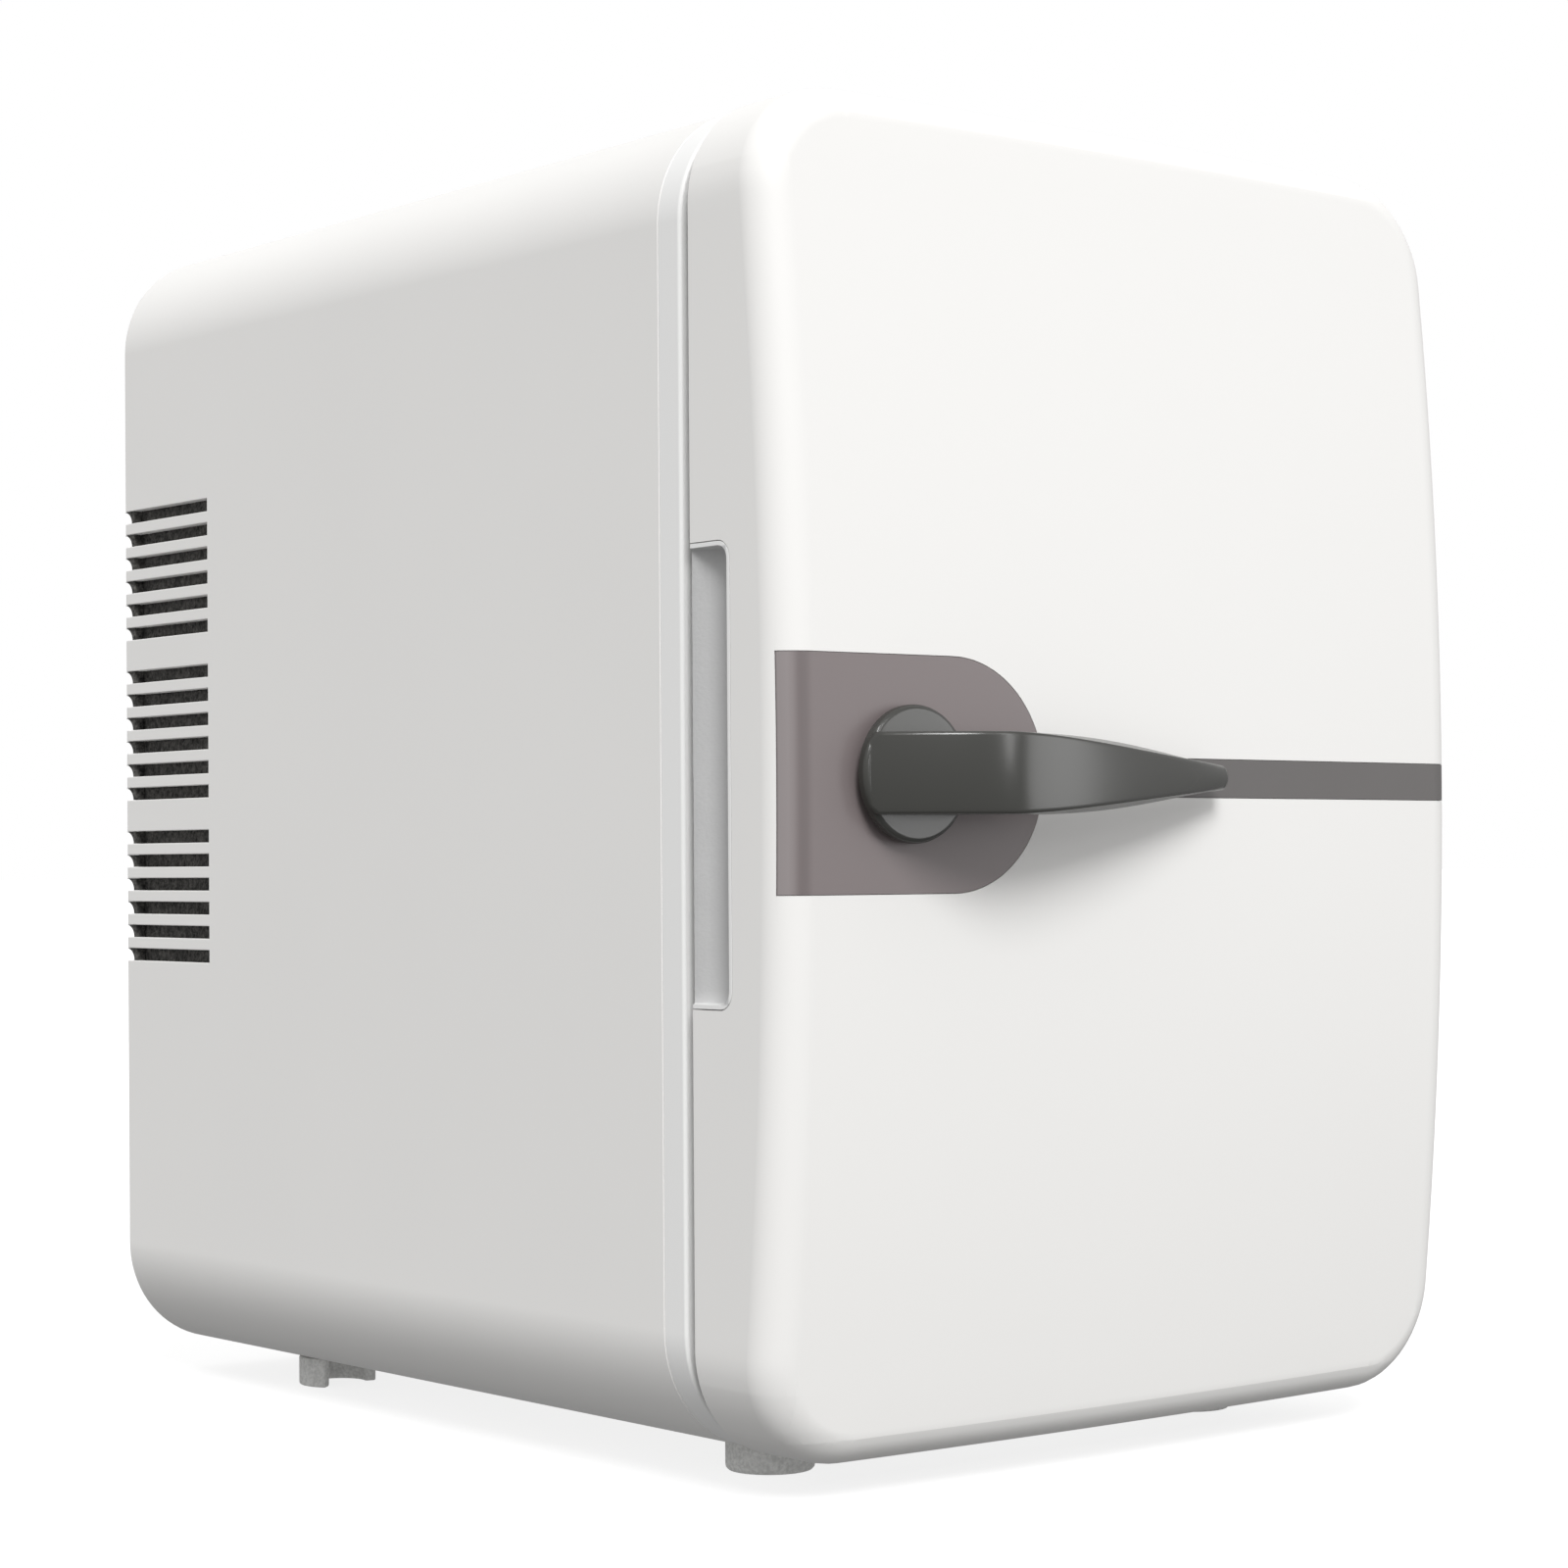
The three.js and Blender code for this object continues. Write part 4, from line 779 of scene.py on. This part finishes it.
def feet():
    for name in ("foot_front_left", "foot_front_right"):
        low, high = local_box(name)
        radius = (high.x - low.x) / 2
        height = high.z - low.z
        profile = [(0, 0), (radius - 1.6, 0), (radius - 0.5, 0.12), (radius - 0.1, 0.55), (radius, 1.1),
                   (radius, height - 0.2), (radius - 0.2, height), (0, height)]
        body = turned(profile, (low.x + high.x) / 2, low.z, "Z", 72, (low.y + high.y) / 2)
        piece(name.replace("foot_", "pad_"), body, "cabinet", FOOT, [name])
    outer, ring = 8.4, 2.6
    for name, start, end in (("foot_rear_left", -22, 220), ("foot_rear_right", -40, 202)):
        low, high = local_box(name)
        middle = (low.x + outer if "left" in name else high.x - outer, high.y - outer)
        outline = arc_points(*middle, outer, start, end, 40)
        outline += arc_points(*middle, outer - ring, end, start, 32)
        body = soften(prism(outline, low.z, high.z, "Z"), 0.45, 3, 50)
        piece(name.replace("foot_", "ring_"), body, "cabinet", FOOT, [name])


# ---------------------------------------------------------------- compartment
def compartment_liner():
    low, high = local_box("inner_liner")
    front, rear = low.y, high.y - LINER_WALL
    bend = 7

    def wall(grow, y):
        return (CAVITY_WIDTH + 2 * grow, CAVITY_HEIGHT + 2 * grow, max(CAVITY_CORNER + grow, 2.5), y)

    sections = [wall(LINER_WALL, rear + LINER_WALL), wall(LINER_WALL, front + LINER_WALL),
                wall(8, front + LINER_WALL), wall(8, front), wall(0.6, front), wall(0.15, front + 0.2),
                wall(0, front + 0.6)]
    sections += [wall(-bend * pull, rear - bend + bend * reach) for pull, reach in rounded_end(7)]
    tub = outline_body(sections, arc=14)
    shelf_low = local_box("shelf")[0]
    ledge_top = shelf_low.z - GAP
    for side in (-1, 1):
        ends = sorted((side * (CAVITY_WIDTH / 2 + 0.5), side * (CAVITY_WIDTH / 2 - 3.5)))
        rail = soften(box((ends[0], 24, ledge_top - 2), (ends[1], 132, ledge_top)), 0.7, 4)
        tub = carve(tub, rail, "UNION")
    cooler = spot("cold_fan_frame")[1]
    tub = carve(tub, rod(0, cooler, 20, rear - 2, rear + 3, 96))
    piece("compartment_liner", tub, "cabinet", LINER, ["inner_liner"], edge=0.3)


def slot_outline(width, low, high, centre=0.0, steps=8):
    """A straight slot with round ends that runs along the second axis."""
    half = width / 2
    return (arc_points(centre, high - half, half, 0, 180, steps)
            + arc_points(centre, low + half, half, 180, 360, steps))


def shelf_tray():
    low, high = local_box("shelf")
    thick = 2.4
    slot_width, slot_pitch = 6.4, 13
    plate = box((low.x, low.y + 2, low.z), (high.x, high.y, low.z + thick))
    lip = box((low.x, low.y, low.z), (high.x, low.y + thick, high.z))
    tray = soften(carve(plate, lip, "UNION"), 0.6, 3)
    slots = bmesh.new()
    for index in range(-4, 5):
        outline = slot_outline(slot_width, low.y + 12, high.y - 8, index * slot_pitch)
        merge(slots, prism(outline, low.z - 1, low.z + thick + 1, "Z"))
    piece("shelf_tray", carve(tray, slots), "cabinet", LINER, ["shelf"])


# ---------------------------------------------------------------- cooling unit
def fan_grille():
    """A ring with two round wires and three bars across it."""
    low, high = local_box("cold_fan_guard")
    centre = spot("cold_fan_guard")[1]
    outer = (high.x - low.x) / 2
    thick = high.y - low.y
    guard = turned([(outer - 6, 0), (outer, 0), (outer, -0.6), (outer - 0.4, -1.2), (outer - 1.2, -thick),
                    (outer - 5.4, -thick), (outer - 6, -1), (outer - 6, 0)], 0, centre, steps=96, y=high.y)
    thin = 0.8
    for radius in (5, 12.5):
        wire = [(radius + thin * math.cos(turn), -thin + thin * math.sin(turn))
                for turn in (math.radians(30 * step) for step in range(13))]
        guard = carve(guard, turned(wire, 0, centre, steps=64, y=high.y), "UNION")
    for index in range(3):
        bar = soften(box((-outer + 4, high.y - 1.6, -0.6), (outer - 4, high.y - 0.1, 0.6)), 0.3, 3)
        guard = carve(guard, swing(bar, index * math.pi / 3, centre), "UNION")
    piece("fan_grille", guard, "cabinet", LINER, ["cold_fan_guard"])


def fan_housing(node):
    """A square frame with a round bore, screw holes and a seat for the hub on three struts."""
    low, high = local_box(node)
    centre = spot(node)[1]
    size, front, rear = high.x - low.x, low.y, high.y
    bore = size / 2 - 2
    housing = outline_body([(size, size, 2.5, front), (size, size, 2.5, rear)], arc=8, centre=(0, centre))
    housing = carve(housing, rod(0, centre, bore, front - 1, rear + 1, 96))
    hole_place, hole_radius = size / 2 - 3.4, 1.9
    for x in (-hole_place, hole_place):
        for z in (-hole_place, hole_place):
            housing = carve(housing, rod(x, centre + z, hole_radius, front - 1, rear + 1, 24))
    hub = turned([(0, 0), (size * 0.19, 0), (size * 0.19, -1.2), (size * 0.18, -1.6), (0, -1.6)], 0, centre,
                 steps=64, y=rear)
    for index in range(3):
        strut = box((0, rear - 1.6, -1.5), (bore + 1, rear, 1.5))
        hub = carve(hub, swing(strut, index * 2 * math.pi / 3, centre), "UNION")
    piece(node.replace("frame", "housing"), carve(housing, hub, "UNION"), "cabinet", BLACK, [node], edge=0.25)


def fan_blades(node, body, housing):
    """A domed hub with curved, twisted blades."""
    count = 7
    low, high = local_box(housing)
    size, front, depth = high.x - low.x, low.y, high.y - low.y
    centre = spot(housing)[1]
    hub, tip = size * 0.18, size / 2 - 3.2
    middle = front + (depth - 1.4) / 2
    pitch = size * 0.075
    back = depth - 2.2
    rotor = turned([(0, 0.8), (hub - 1.4, 0.8), (hub - 0.4, 1.1), (hub, 1.9), (hub, back), (0, back)],
                   0, centre, steps=64, y=front)
    for index in range(count):
        blade = bmesh.new()
        bmesh.ops.create_grid(blade, x_segments=8, y_segments=8, size=0.5)
        for vert in blade.verts:
            along, over = vert.co.x + 0.5, vert.co.y
            radius = hub - 0.6 + along * (tip - hub + 0.6)
            turn = index * 2 * math.pi / count + 0.34 * along ** 2 + over * (0.78 - 0.16 * along)
            lift = over * pitch * (1 - 0.3 * along) + 0.35 * (0.25 - over ** 2)
            vert.co = (radius * math.cos(turn), middle + lift, centre + radius * math.sin(turn))
        bmesh.ops.solidify(blade, geom=blade.faces[:], thickness=0.8)
        merge(rotor, blade)
    piece(node.replace("rotor", "blades"), rotor, body, BLACK, [node])


def pan_screws():
    """Pan-headed screws with a cross recess, on the back cover and on the hot fan."""
    shank, dome, cross = 1.5, 1.6, 0.7
    for node in [name for name in nodes if "_screw_" in name]:
        low, high = local_box(node)
        x, z = spot(node)
        head = (high.x - low.x) / 2
        seat = high.y - dome
        body = turned([(0, low.y - seat), (shank, low.y - seat), (shank, 0), (head, 0), (head, 0.5),
                       (head - 0.25, 0.95), (head * 0.7, 1.4), (head * 0.35, 1.58), (0, dome)],
                      x, z, steps=48, y=seat)
        for width, tall in ((cross, head), (head, cross)):
            body = carve(body, box((x - width / 2, high.y - 1, z - tall / 2),
                                   (x + width / 2, high.y + 1, z + tall / 2)))
        piece(node.replace("_screw_", "_pan_screw_"), body, "cabinet", STEEL, [node], edge=0.06)


# ---------------------------------------------------------------- back
def back_cover():
    """A plate with a rounded rim, a raised ring round the slots of its grille, and holes for its parts."""
    low, high = local_box("rear_cover")
    rear = high.y
    inside = low.y + 1.2
    outer = WALL + 0.4
    lip = 1.0
    grille, slot_width, slot_pitch = 41, 3.2, 6
    screw_hole = 1.9
    cooler = spot("hot_fan_frame")[1]
    sections = [cabinet_section(outer + 2, inside), cabinet_section(outer + 2, low.y),
                cabinet_section(outer, low.y), cabinet_section(outer, rear - lip)]
    sections += [cabinet_section(outer + lip * pull, rear - lip + lip * reach)
                 for pull, reach in rounded_end(4)]
    sections += [cabinet_section(outer + 4, rear), cabinet_section(outer + 4.5, rear - 0.5)]
    cover = outline_body(sections, arc=16)
    ring = turned([(43, -0.8), (43, 0.3), (43.3, 0.6), (45.2, 0.6), (45.5, 0.3), (45.5, -0.8), (43, -0.8)], 0,
                  cooler, steps=128, y=rear)
    cover = carve(cover, ring, "UNION")
    cuts = bmesh.new()
    through = (inside - 2, rear + 2)
    for index in range(-6, 7):
        rise = index * slot_pitch
        reach = math.sqrt(grille ** 2 - rise ** 2)
        outline = [(z, x) for x, z in slot_outline(slot_width, -reach, reach, cooler + rise)]
        merge(cuts, prism(outline, *through))
    for node, inset in (("power_inlet", 2.2), ("switch_housing", 1.2)):
        part_low, part_high = local_box(node)
        add_box(cuts, (part_low.x + inset, through[0], part_low.z + inset),
                (part_high.x - inset, through[1], part_high.z - inset))
    for node, grow in (("car_socket", -1.6), ("cool_light", 0.2), ("warm_light", 0.2)):
        part_low, part_high = local_box(node)
        add_rod(cuts, *spot(node), (part_high.x - part_low.x) / 2 + grow, *through, 40)
    for index in range(1, 5):
        add_rod(cuts, *spot(f"cover_screw_{index}"), screw_hole, *through, 32)
    piece("back_cover", carve(cover, cuts), "cabinet", SHELL, ["rear_cover"], edge=0.3)


def flanged_socket(node, flange, well_inset, well_corner, well_depth):
    """A rounded flange with a socket body in front of it and a well open to the back."""
    low, high = local_box(node)
    centre = spot(node)
    width, height = high.x - low.x, high.z - low.z
    rear = high.y
    seat = rear - 0.8
    inner = 2 * (flange + GAP)
    body = outline_body(
        [(width - inner, height - inner, 1.2, low.y), (width - inner, height - inner, 1.2, seat),
         (width, height, 2, seat), (width, height, 2, rear - 0.3), (width - 0.5, height - 0.5, 1.8, rear)],
        arc=8, centre=centre)
    well = 2 * (flange + well_inset)
    return carve(body, outline_body(
        [(width - well, height - well, well_corner, rear - well_depth),
         (width - well, height - well, well_corner, rear + 1)], arc=8, centre=centre))


def power_inlet():
    middle, centre = spot("power_inlet")
    tip = local_box("power_inlet")[1].y - 5.5
    socket = flanged_socket("power_inlet", flange=2.5, well_inset=2.2, well_corner=3.4, well_depth=14)
    piece("inlet_socket", socket, "cabinet", BLACK, ["power_inlet"], edge=0.15)
    for side, name in ((-1, "left"), (1, "right")):
        pin = turned([(0, 0), (0.7, 0), (1.1, -0.3), (1.2, -0.8), (1.2, -8.3), (0, -8.3)], middle + side * 4,
                     centre, steps=32, y=tip)
        piece(f"inlet_pin_{name}", pin, "cabinet", STEEL)


def car_socket():
    low, high = local_box("car_socket")
    depth = high.y - low.y
    barrel = [(0, -depth), (5.7, -depth), (5.7, -0.8)]
    flange = [(7.8, -0.8), (7.8, -0.3), (7.4, 0), (3.8, 0)]
    well = [(3.4, -0.4), (3.4, -11), (1.1, -11)]
    contact = [(1.1, -2.4), (0.7, -2), (0, -2)]
    body = turned(barrel + flange + well + contact, *spot("car_socket"), steps=64, y=high.y)
    piece("car_socket_body", body, "cabinet", BLACK, ["car_socket"])


def mode_switch():
    housing = flanged_socket("switch_housing", flange=1.5, well_inset=1.4, well_corner=0.6, well_depth=11.5)
    piece("switch_frame", housing, "cabinet", BLACK, ["switch_housing"], edge=0.15)
    low, high = local_box("mode_switch")
    axis, centre = high.y - 3.2, (low.z + high.z) / 2
    tall = (high.z - low.z) / 2
    sag = 1.9
    bow = (tall ** 2 + sag ** 2) / (2 * sag)
    spread = math.degrees(math.asin(tall / bow))
    outline = [(axis - 4.4, centre - 3), (axis - 1, centre - tall)]
    outline += arc_points(axis + 3.2 - sag + bow, centre, bow, 180 + spread, 180 - spread, 20)
    outline += [(axis - 1, centre + tall), (axis - 4.4, centre + 3)]
    rocker = prism(outline, low.x, high.x, "X")
    piece("switch_rocker", rocker, "rocker", BLACK, ["mode_switch"], edge=0.35, segments=3, angle=25)


def signal_lamps():
    for node, finish in (("cool_light", GREEN), ("warm_light", RED)):
        rise = 0.9
        dome = turned([(0, -4), (1.7, -4), (1.7, 0), (1.55, 0.35), (1.2, 0.65), (0.65, 0.85), (0, rise)],
                      *spot(node), steps=40, y=local_box(node)[1].y - rise)
        piece(node.replace("light", "lamp"), dome, "cabinet", finish, [node])


# ---------------------------------------------------------------- door
def crowned(bm, limit):
    """Bends the front of a door body, in front of a limit, to the crown of the door."""
    for vert in bm.verts:
        if vert.co.y < limit:
            vert.co.y += CROWN_X * vert.co.x ** 2 + CROWN_Z * vert.co.z ** 2
    return bm


def door_form(inset, rear, arc=16, rim=8, spacing=9):
    """The whole outer form of the door, shrunk by an inset all round."""
    edge = DOOR_EDGE - inset
    corner = DOOR_CORNER - inset
    start = DOOR_FRONT + inset + edge
    width, height = WIDTH - 2 * inset, HEIGHT - 2 * inset
    sections = [(width, height, corner, rear)]
    sections += [(width - 2 * edge * pull, height - 2 * edge * pull, corner - edge * pull,
                  start - edge * reach) for pull, reach in rounded_end(rim)]
    bm = outline_body(sections, arc=arc)
    for axis, reach in ((Vector((1, 0, 0)), SIDE), (Vector((0, 0, 1)), TOP)):
        count = int(reach // spacing)
        for step in range(-count, count + 1):
            bmesh.ops.bisect_plane(bm, geom=bm.verts[:] + bm.edges[:] + bm.faces[:], dist=1e-4,
                                   plane_co=axis * step * spacing, plane_no=axis)
    return crowned(bm, start + 0.01)


PLATE_LEFT = -86.6
PLATE_END = -50
PLATE_HALF = 21
STRIPE_HALF = 3.6
INLAY = 0.9
SEAT_GAP = 0.12


def plate_outline(grow):
    half = PLATE_HALF + grow
    return ([(PLATE_LEFT - grow, half), (PLATE_LEFT - grow, -half)]
            + arc_points(PLATE_END, 0, half, -90, 90, 40))


def stripe_outline(grow):
    half = STRIPE_HALF + grow
    right = -PLATE_LEFT + grow
    return [(PLATE_END, -half), (right, -half), (right, half), (PLATE_END, half)]


RECESS_DEPTH = 7.6
RECESS_ROUND = 2.5
RECESS_RISE = 7.2
CUP_WALL = 0.8
CUP_SEAM = 0.18


def finger_scoop(grow=0.0):
    """The room for the fingers: deep behind its front lip, its floor rising to the rear, where it is open."""
    bend = 2.4
    rear = 16
    width = rear - RECESS_FRONT + grow
    height = 2 * (RECESS_HALF + grow)
    corner = RECESS_ROUND + grow
    depth = RECESS_DEPTH + grow
    sections = [(width, height, corner, -SIDE - 3)]
    sections += [(width - 2 * bend * pull, height - 2 * bend * pull, max(corner - bend * pull, 1),
                  -SIDE + depth - bend + bend * reach) for pull, reach in rounded_end(8)]
    scoop = outline_body(sections, arc=8, place=across_x, centre=((rear + RECESS_FRONT - grow) / 2, 0))
    bmesh.ops.bisect_plane(scoop, geom=scoop.verts[:] + scoop.edges[:] + scoop.faces[:], dist=1e-4,
                           plane_co=(0, DOOR_REAR, 0), plane_no=(0, 1, 0))
    for vert in scoop.verts:
        share = min(max((vert.co.y - RECESS_FRONT) / (DOOR_REAR - RECESS_FRONT), 0), 1)
        inward = max(vert.co.x + SIDE, 0) / depth
        vert.co.x -= RECESS_RISE * share * inward
    return scoop


def make_door():
    """The skin of the door with its pocket for plate and stripe, and the cup, plate and stripe in it."""
    shaft = rod(*spot("lever_shaft"), 3.4, -60, 20)
    inlay_range = (-60, -14)
    outer = door_form(0, DOOR_REAR)
    plate = carve(outer.copy(), prism(plate_outline(0), *inlay_range), "INTERSECT")
    stripe = carve(outer.copy(), prism(stripe_outline(0), *inlay_range), "INTERSECT")
    stripe = carve(stripe, prism(plate_outline(SEAT_GAP), -70, 0))
    core = door_form(INLAY, DOOR_REAR + 4)
    plate = carve(carve(plate, core.copy()), shaft.copy())
    stripe = carve(stripe, core)
    pocket = carve(prism(plate_outline(SEAT_GAP), *inlay_range),
                   prism(stripe_outline(SEAT_GAP), *inlay_range), "UNION")
    pocket = carve(pocket, door_form(INLAY + SEAT_GAP, DOOR_REAR + 4))
    cup = carve(carve(outer.copy(), finger_scoop(CUP_WALL), "INTERSECT"), finger_scoop())
    seat = CUP_WALL + CUP_SEAM
    hollow = carve(door_form(WALL, DOOR_REAR + 1, rim=3, spacing=40), finger_scoop(seat + 1.2))
    skin_body = carve(carve(carve(carve(outer, pocket), hollow), finger_scoop(seat)), shaft)
    piece("door_skin", skin_body, "door", DOOR, ["door_shell"], edge=0.16)
    piece("recess_cup", cup, "door", CUP, ["finger_cup"], edge=0.28, segments=3)
    piece("inlaid_plate", plate, "door", PLATE, ["handle_plate"], edge=0.1)
    piece("inlaid_stripe", stripe, "door", STRIPE, ["stripe_trim"], edge=0.1)


def plug_section(inset, y):
    room = 3.2 + inset
    return (CAVITY_WIDTH - 2 * room, CAVITY_HEIGHT - 2 * room, max(9 - inset, 2), y)


def door_lining():
    """The tray behind the door, its plug rounded where it enters the compartment."""
    seat = DOOR_REAR - 0.4
    rear = local_box("door_liner")[1].y
    bend = 2.2

    def rim(y):
        inset = WALL + 0.4
        return (WIDTH - 2 * inset, HEIGHT - 2 * inset, DOOR_CORNER - inset, y)

    floor, under = rear - LINER_WALL, seat - LINER_WALL
    sections = [plug_section(LINER_WALL + 1, floor), plug_section(LINER_WALL, floor - 1),
                plug_section(LINER_WALL, under), rim(under), rim(seat),
                plug_section(-0.5, seat), plug_section(-0.1, seat + 0.15), plug_section(0, seat + 0.5)]
    sections += [plug_section(bend * pull, rear - bend + bend * reach) for pull, reach in rounded_end(6)]
    sections += [plug_section(9, rear), plug_section(9.4, rear - 0.2), plug_section(9.8, rear - 0.7)]
    lining = outline_body(sections, arc=12)
    lining = carve(lining, finger_scoop(CUP_WALL + CUP_SEAM + 1.7))
    keeper_low, keeper_high = local_box("keeper")
    inset = 0.6
    bolt_way = box((-SIDE, keeper_low.y + inset, keeper_low.z + inset),
                   (keeper_high.x + 8, keeper_high.y - inset, keeper_high.z - inset))
    piece("door_lining", carve(lining, bolt_way), "door", LINER, ["door_liner"], edge=0.25)


def door_seal():
    """A bellows seal that stands on the door's tray and meets the front band."""
    low, high = local_box("door_gasket")
    front, rear = low.y, high.y
    width, height = high.x - low.x, high.z - low.z

    def band(inset, y):
        return (width - 2 * inset, height - 2 * inset, 17 - inset, y)

    deep = rear - front
    profile = [(0.9, 0), (0.3, 0.18), (0, 0.36), (0.4, 0.52), (0.1, 0.68), (0.5, 0.88), (1.5, 1), (5.3, 1),
               (6.3, 0.88), (6.7, 0.68), (6.4, 0.52), (6.8, 0.36), (6.5, 0.18), (5.9, 0)]
    sections = [band(inset, front + share * deep) for inset, share in profile]
    piece("bellows_seal", outline_body(sections, closed=True, arc=14), "door", SEAL, ["door_gasket"])


# ---------------------------------------------------------------- lever
DISC_RADIUS = 12.2
ARM_HALF = 7.2


def bezier(points, steps):
    """Points along a cubic curve given by its ends and the two points that pull it."""
    return interpolate_bezier(*(Vector((*point, 0)) for point in points), steps)


def arm_curves(left, disc_face):
    """The outer and the inner side of the arm, seen from above."""
    root = disc_face + 0.8
    outer = bezier([(left + 0.5, root), (left + 5.2, -35.5), (left + 13.2, -43.5), (-50.5, -45.6)], 22)
    outer += bezier([(-50.5, -45.6), (-42, -47.45), (-16, -43.6), (12.2, -35.4)], 26)[1:]
    inner = bezier([(-52.2, root), (-50.5, -36), (-48, -41), (-39, -41.2)], 22)
    inner += bezier([(-39, -41.2), (-24, -41), (-4, -36.9), (11.9, -33.4)], 26)[1:]
    return outer, inner


def arm_half_height(x):
    """Full height over the root, then a taper to the tip."""
    share = min(max((x + 46) / 58, 0), 1)
    rest = 1 - share
    return rest ** 3 * ARM_HALF + 3 * rest ** 2 * share * 6.6 + 3 * rest * share ** 2 * 3.6 + share ** 3 * 2.3


def lever_arm(lever_x, lever_z, disc_face):
    """A bar with rounded edges and a slightly crowned outer side, swept from the disc to the tip."""
    bm = bmesh.new()
    loops = []
    crown = 0.6
    stations = list(zip(*arm_curves(lever_x - DISC_RADIUS, disc_face)))
    tips = [(0.5, 0.9), (0.9, 0.7), (1.15, 0.35)]
    ends = [(stations[-1], step, scale) for step, scale in tips]
    for (out, back), step, scale in [(station, 0, 1) for station in stations] + ends:
        across = out - back
        thick = across.length * scale
        side = across.normalized()
        ahead = side.cross(Vector((0, 0, 1)))
        middle = (out + back) / 2 - ahead * step
        half = arm_half_height(middle.x) * scale
        place = Matrix(((side.x, 0, ahead.x, middle.x), (side.y, 0, ahead.y, middle.y),
                        (0, 1, 0, lever_z), (0, 0, 0, 1)))
        edges = loop(bm, thick, 2 * half, min(0.7, 0.4 * thick, 0.6 * half), place, arc=4, cuts=9)
        for vert in {vert for edge in edges for vert in edge.verts}:
            local = place.inverted() @ vert.co
            sink = crown * scale * (local.y / half) ** 2 * max(local.x / thick + 0.5, 0)
            vert.co -= side * sink
            reach = lever_x - vert.co.x
            if reach > 0:
                limit = math.sqrt(max(DISC_RADIUS ** 2 - reach ** 2, 2)) / ARM_HALF
                vert.co.z = lever_z + (vert.co.z - lever_z) * min(limit, 1)
        loops.append(edges)
    return skin(bm, loops)


def turning_lever():
    lever_x, lever_z = spot("lever_shaft")
    rear = local_box("lever_handle")[1].y
    disc = turned([(0, 0), (DISC_RADIUS - 0.2, 0), (DISC_RADIUS, -0.2), (DISC_RADIUS, -1.2),
                   (DISC_RADIUS - 0.15, -1.6), (DISC_RADIUS - 0.5, -1.9), (DISC_RADIUS - 1, -2), (0, -2)],
                  lever_x, lever_z, steps=96, y=rear)
    body = carve(disc, lever_arm(lever_x, lever_z, rear - 2), "UNION")
    piece("turning_lever", body, "lever", LEVER, ["lever_handle"], edge=0.3, segments=3, angle=40)


# ---------------------------------------------------------------- hinges
HINGE_HALF = 12
LEAF_THICK = 1.2
KNUCKLE = 3.2


def upright_rod(radius, low, high, x, y, z, steps, edge=0.0):
    """A bar along Z, its ends chamfered where an edge is given."""
    rim = [(radius - edge, low), (radius, low + edge), (radius, high - edge), (radius - edge, high)]
    return turned([(0, low), *(rim if edge else rim[::3]), (0, high)], x, z, "Z", steps, y)


def hinge_leaf(node, body, finish):
    """A leaf with rounded corners and its knuckles, bored for the pin."""
    on_cabinet = "cabinet" in node
    middle = spot(node)[1]
    axis_x = local_box(node)[1].x - KNUCKLE
    pin_low, pin_high = local_box(node.replace("cabinet", "pin").replace("door", "pin"))
    axis = (axis_x, (pin_low.y + pin_high.y) / 2, middle)
    near, far = (4.5, 20) if on_cabinet else (-17, -3.5)
    knuckles = ((-HINGE_HALF, -4.3), (4.3, HINGE_HALF)) if on_cabinet else ((-4, 4),)
    past_ends = (-HINGE_HALF - 1, HINGE_HALF + 1)
    inner_x, outer_x = SIDE + GAP, SIDE + GAP + LEAF_THICK
    leaf = outline_body([(far - near, 2 * HINGE_HALF, 2, inner_x), (far - near, 2 * HINGE_HALF, 2, outer_x)],
                        arc=6, place=across_x, centre=((near + far) / 2, middle))
    leaf = carve(leaf, upright_rod(3.6, *past_ends, *axis, 48))
    for start, end in knuckles:
        tongue = box((inner_x, min(axis[1], near), middle + start),
                     (outer_x, max(axis[1], far), middle + end))
        leaf = carve(leaf, tongue, "UNION")
        leaf = carve(leaf, upright_rod(KNUCKLE, start, end, *axis, 48, edge=0.2), "UNION")
    bored = carve(leaf, upright_rod(1.5, *past_ends, *axis, 32))
    piece(node.replace("hinge", "hinge_leaf"), bored, body, finish, [node], edge=0.15)


def hinge_pin(node):
    low, high = local_box(node)
    x, y, z = (low + high) / 2
    tall = (high.z - low.z) / 2
    head = [(0, 0), (1.6, 0), (2.2, 0.3), (2.4, 0.7), (2.4, 1), (1.2, 1)]
    profile = [(radius, -tall + height) for radius, height in head]
    profile += [(radius, -height) for radius, height in reversed(profile)]
    piece(node.replace("pin", "rivet"), turned(profile, x, z, "Z", 40, y), "cabinet", STEEL, [node])


def hinges():
    for place in ("top", "bottom"):
        hinge_leaf(f"hinge_cabinet_{place}", "cabinet", FRAME)
        hinge_leaf(f"hinge_door_{place}", "door", DOOR)
        hinge_pin(f"hinge_pin_{place}")


make_camera()
make_lights()
make_surroundings()
make_floor()
finish_cad_nodes()
cabinet_sleeve()
filter_pads()
front_band()
feet()
compartment_liner()
shelf_tray()
fan_grille()
fan_housing("cold_fan_frame")
fan_housing("hot_fan_frame")
fan_blades("cold_fan_rotor", "cold_fan", "cold_fan_frame")
fan_blades("hot_fan_rotor", "hot_fan", "hot_fan_frame")
back_cover()
pan_screws()
power_inlet()
car_socket()
mode_switch()
signal_lamps()
make_door()
door_lining()
door_seal()
turning_lever()
hinges()
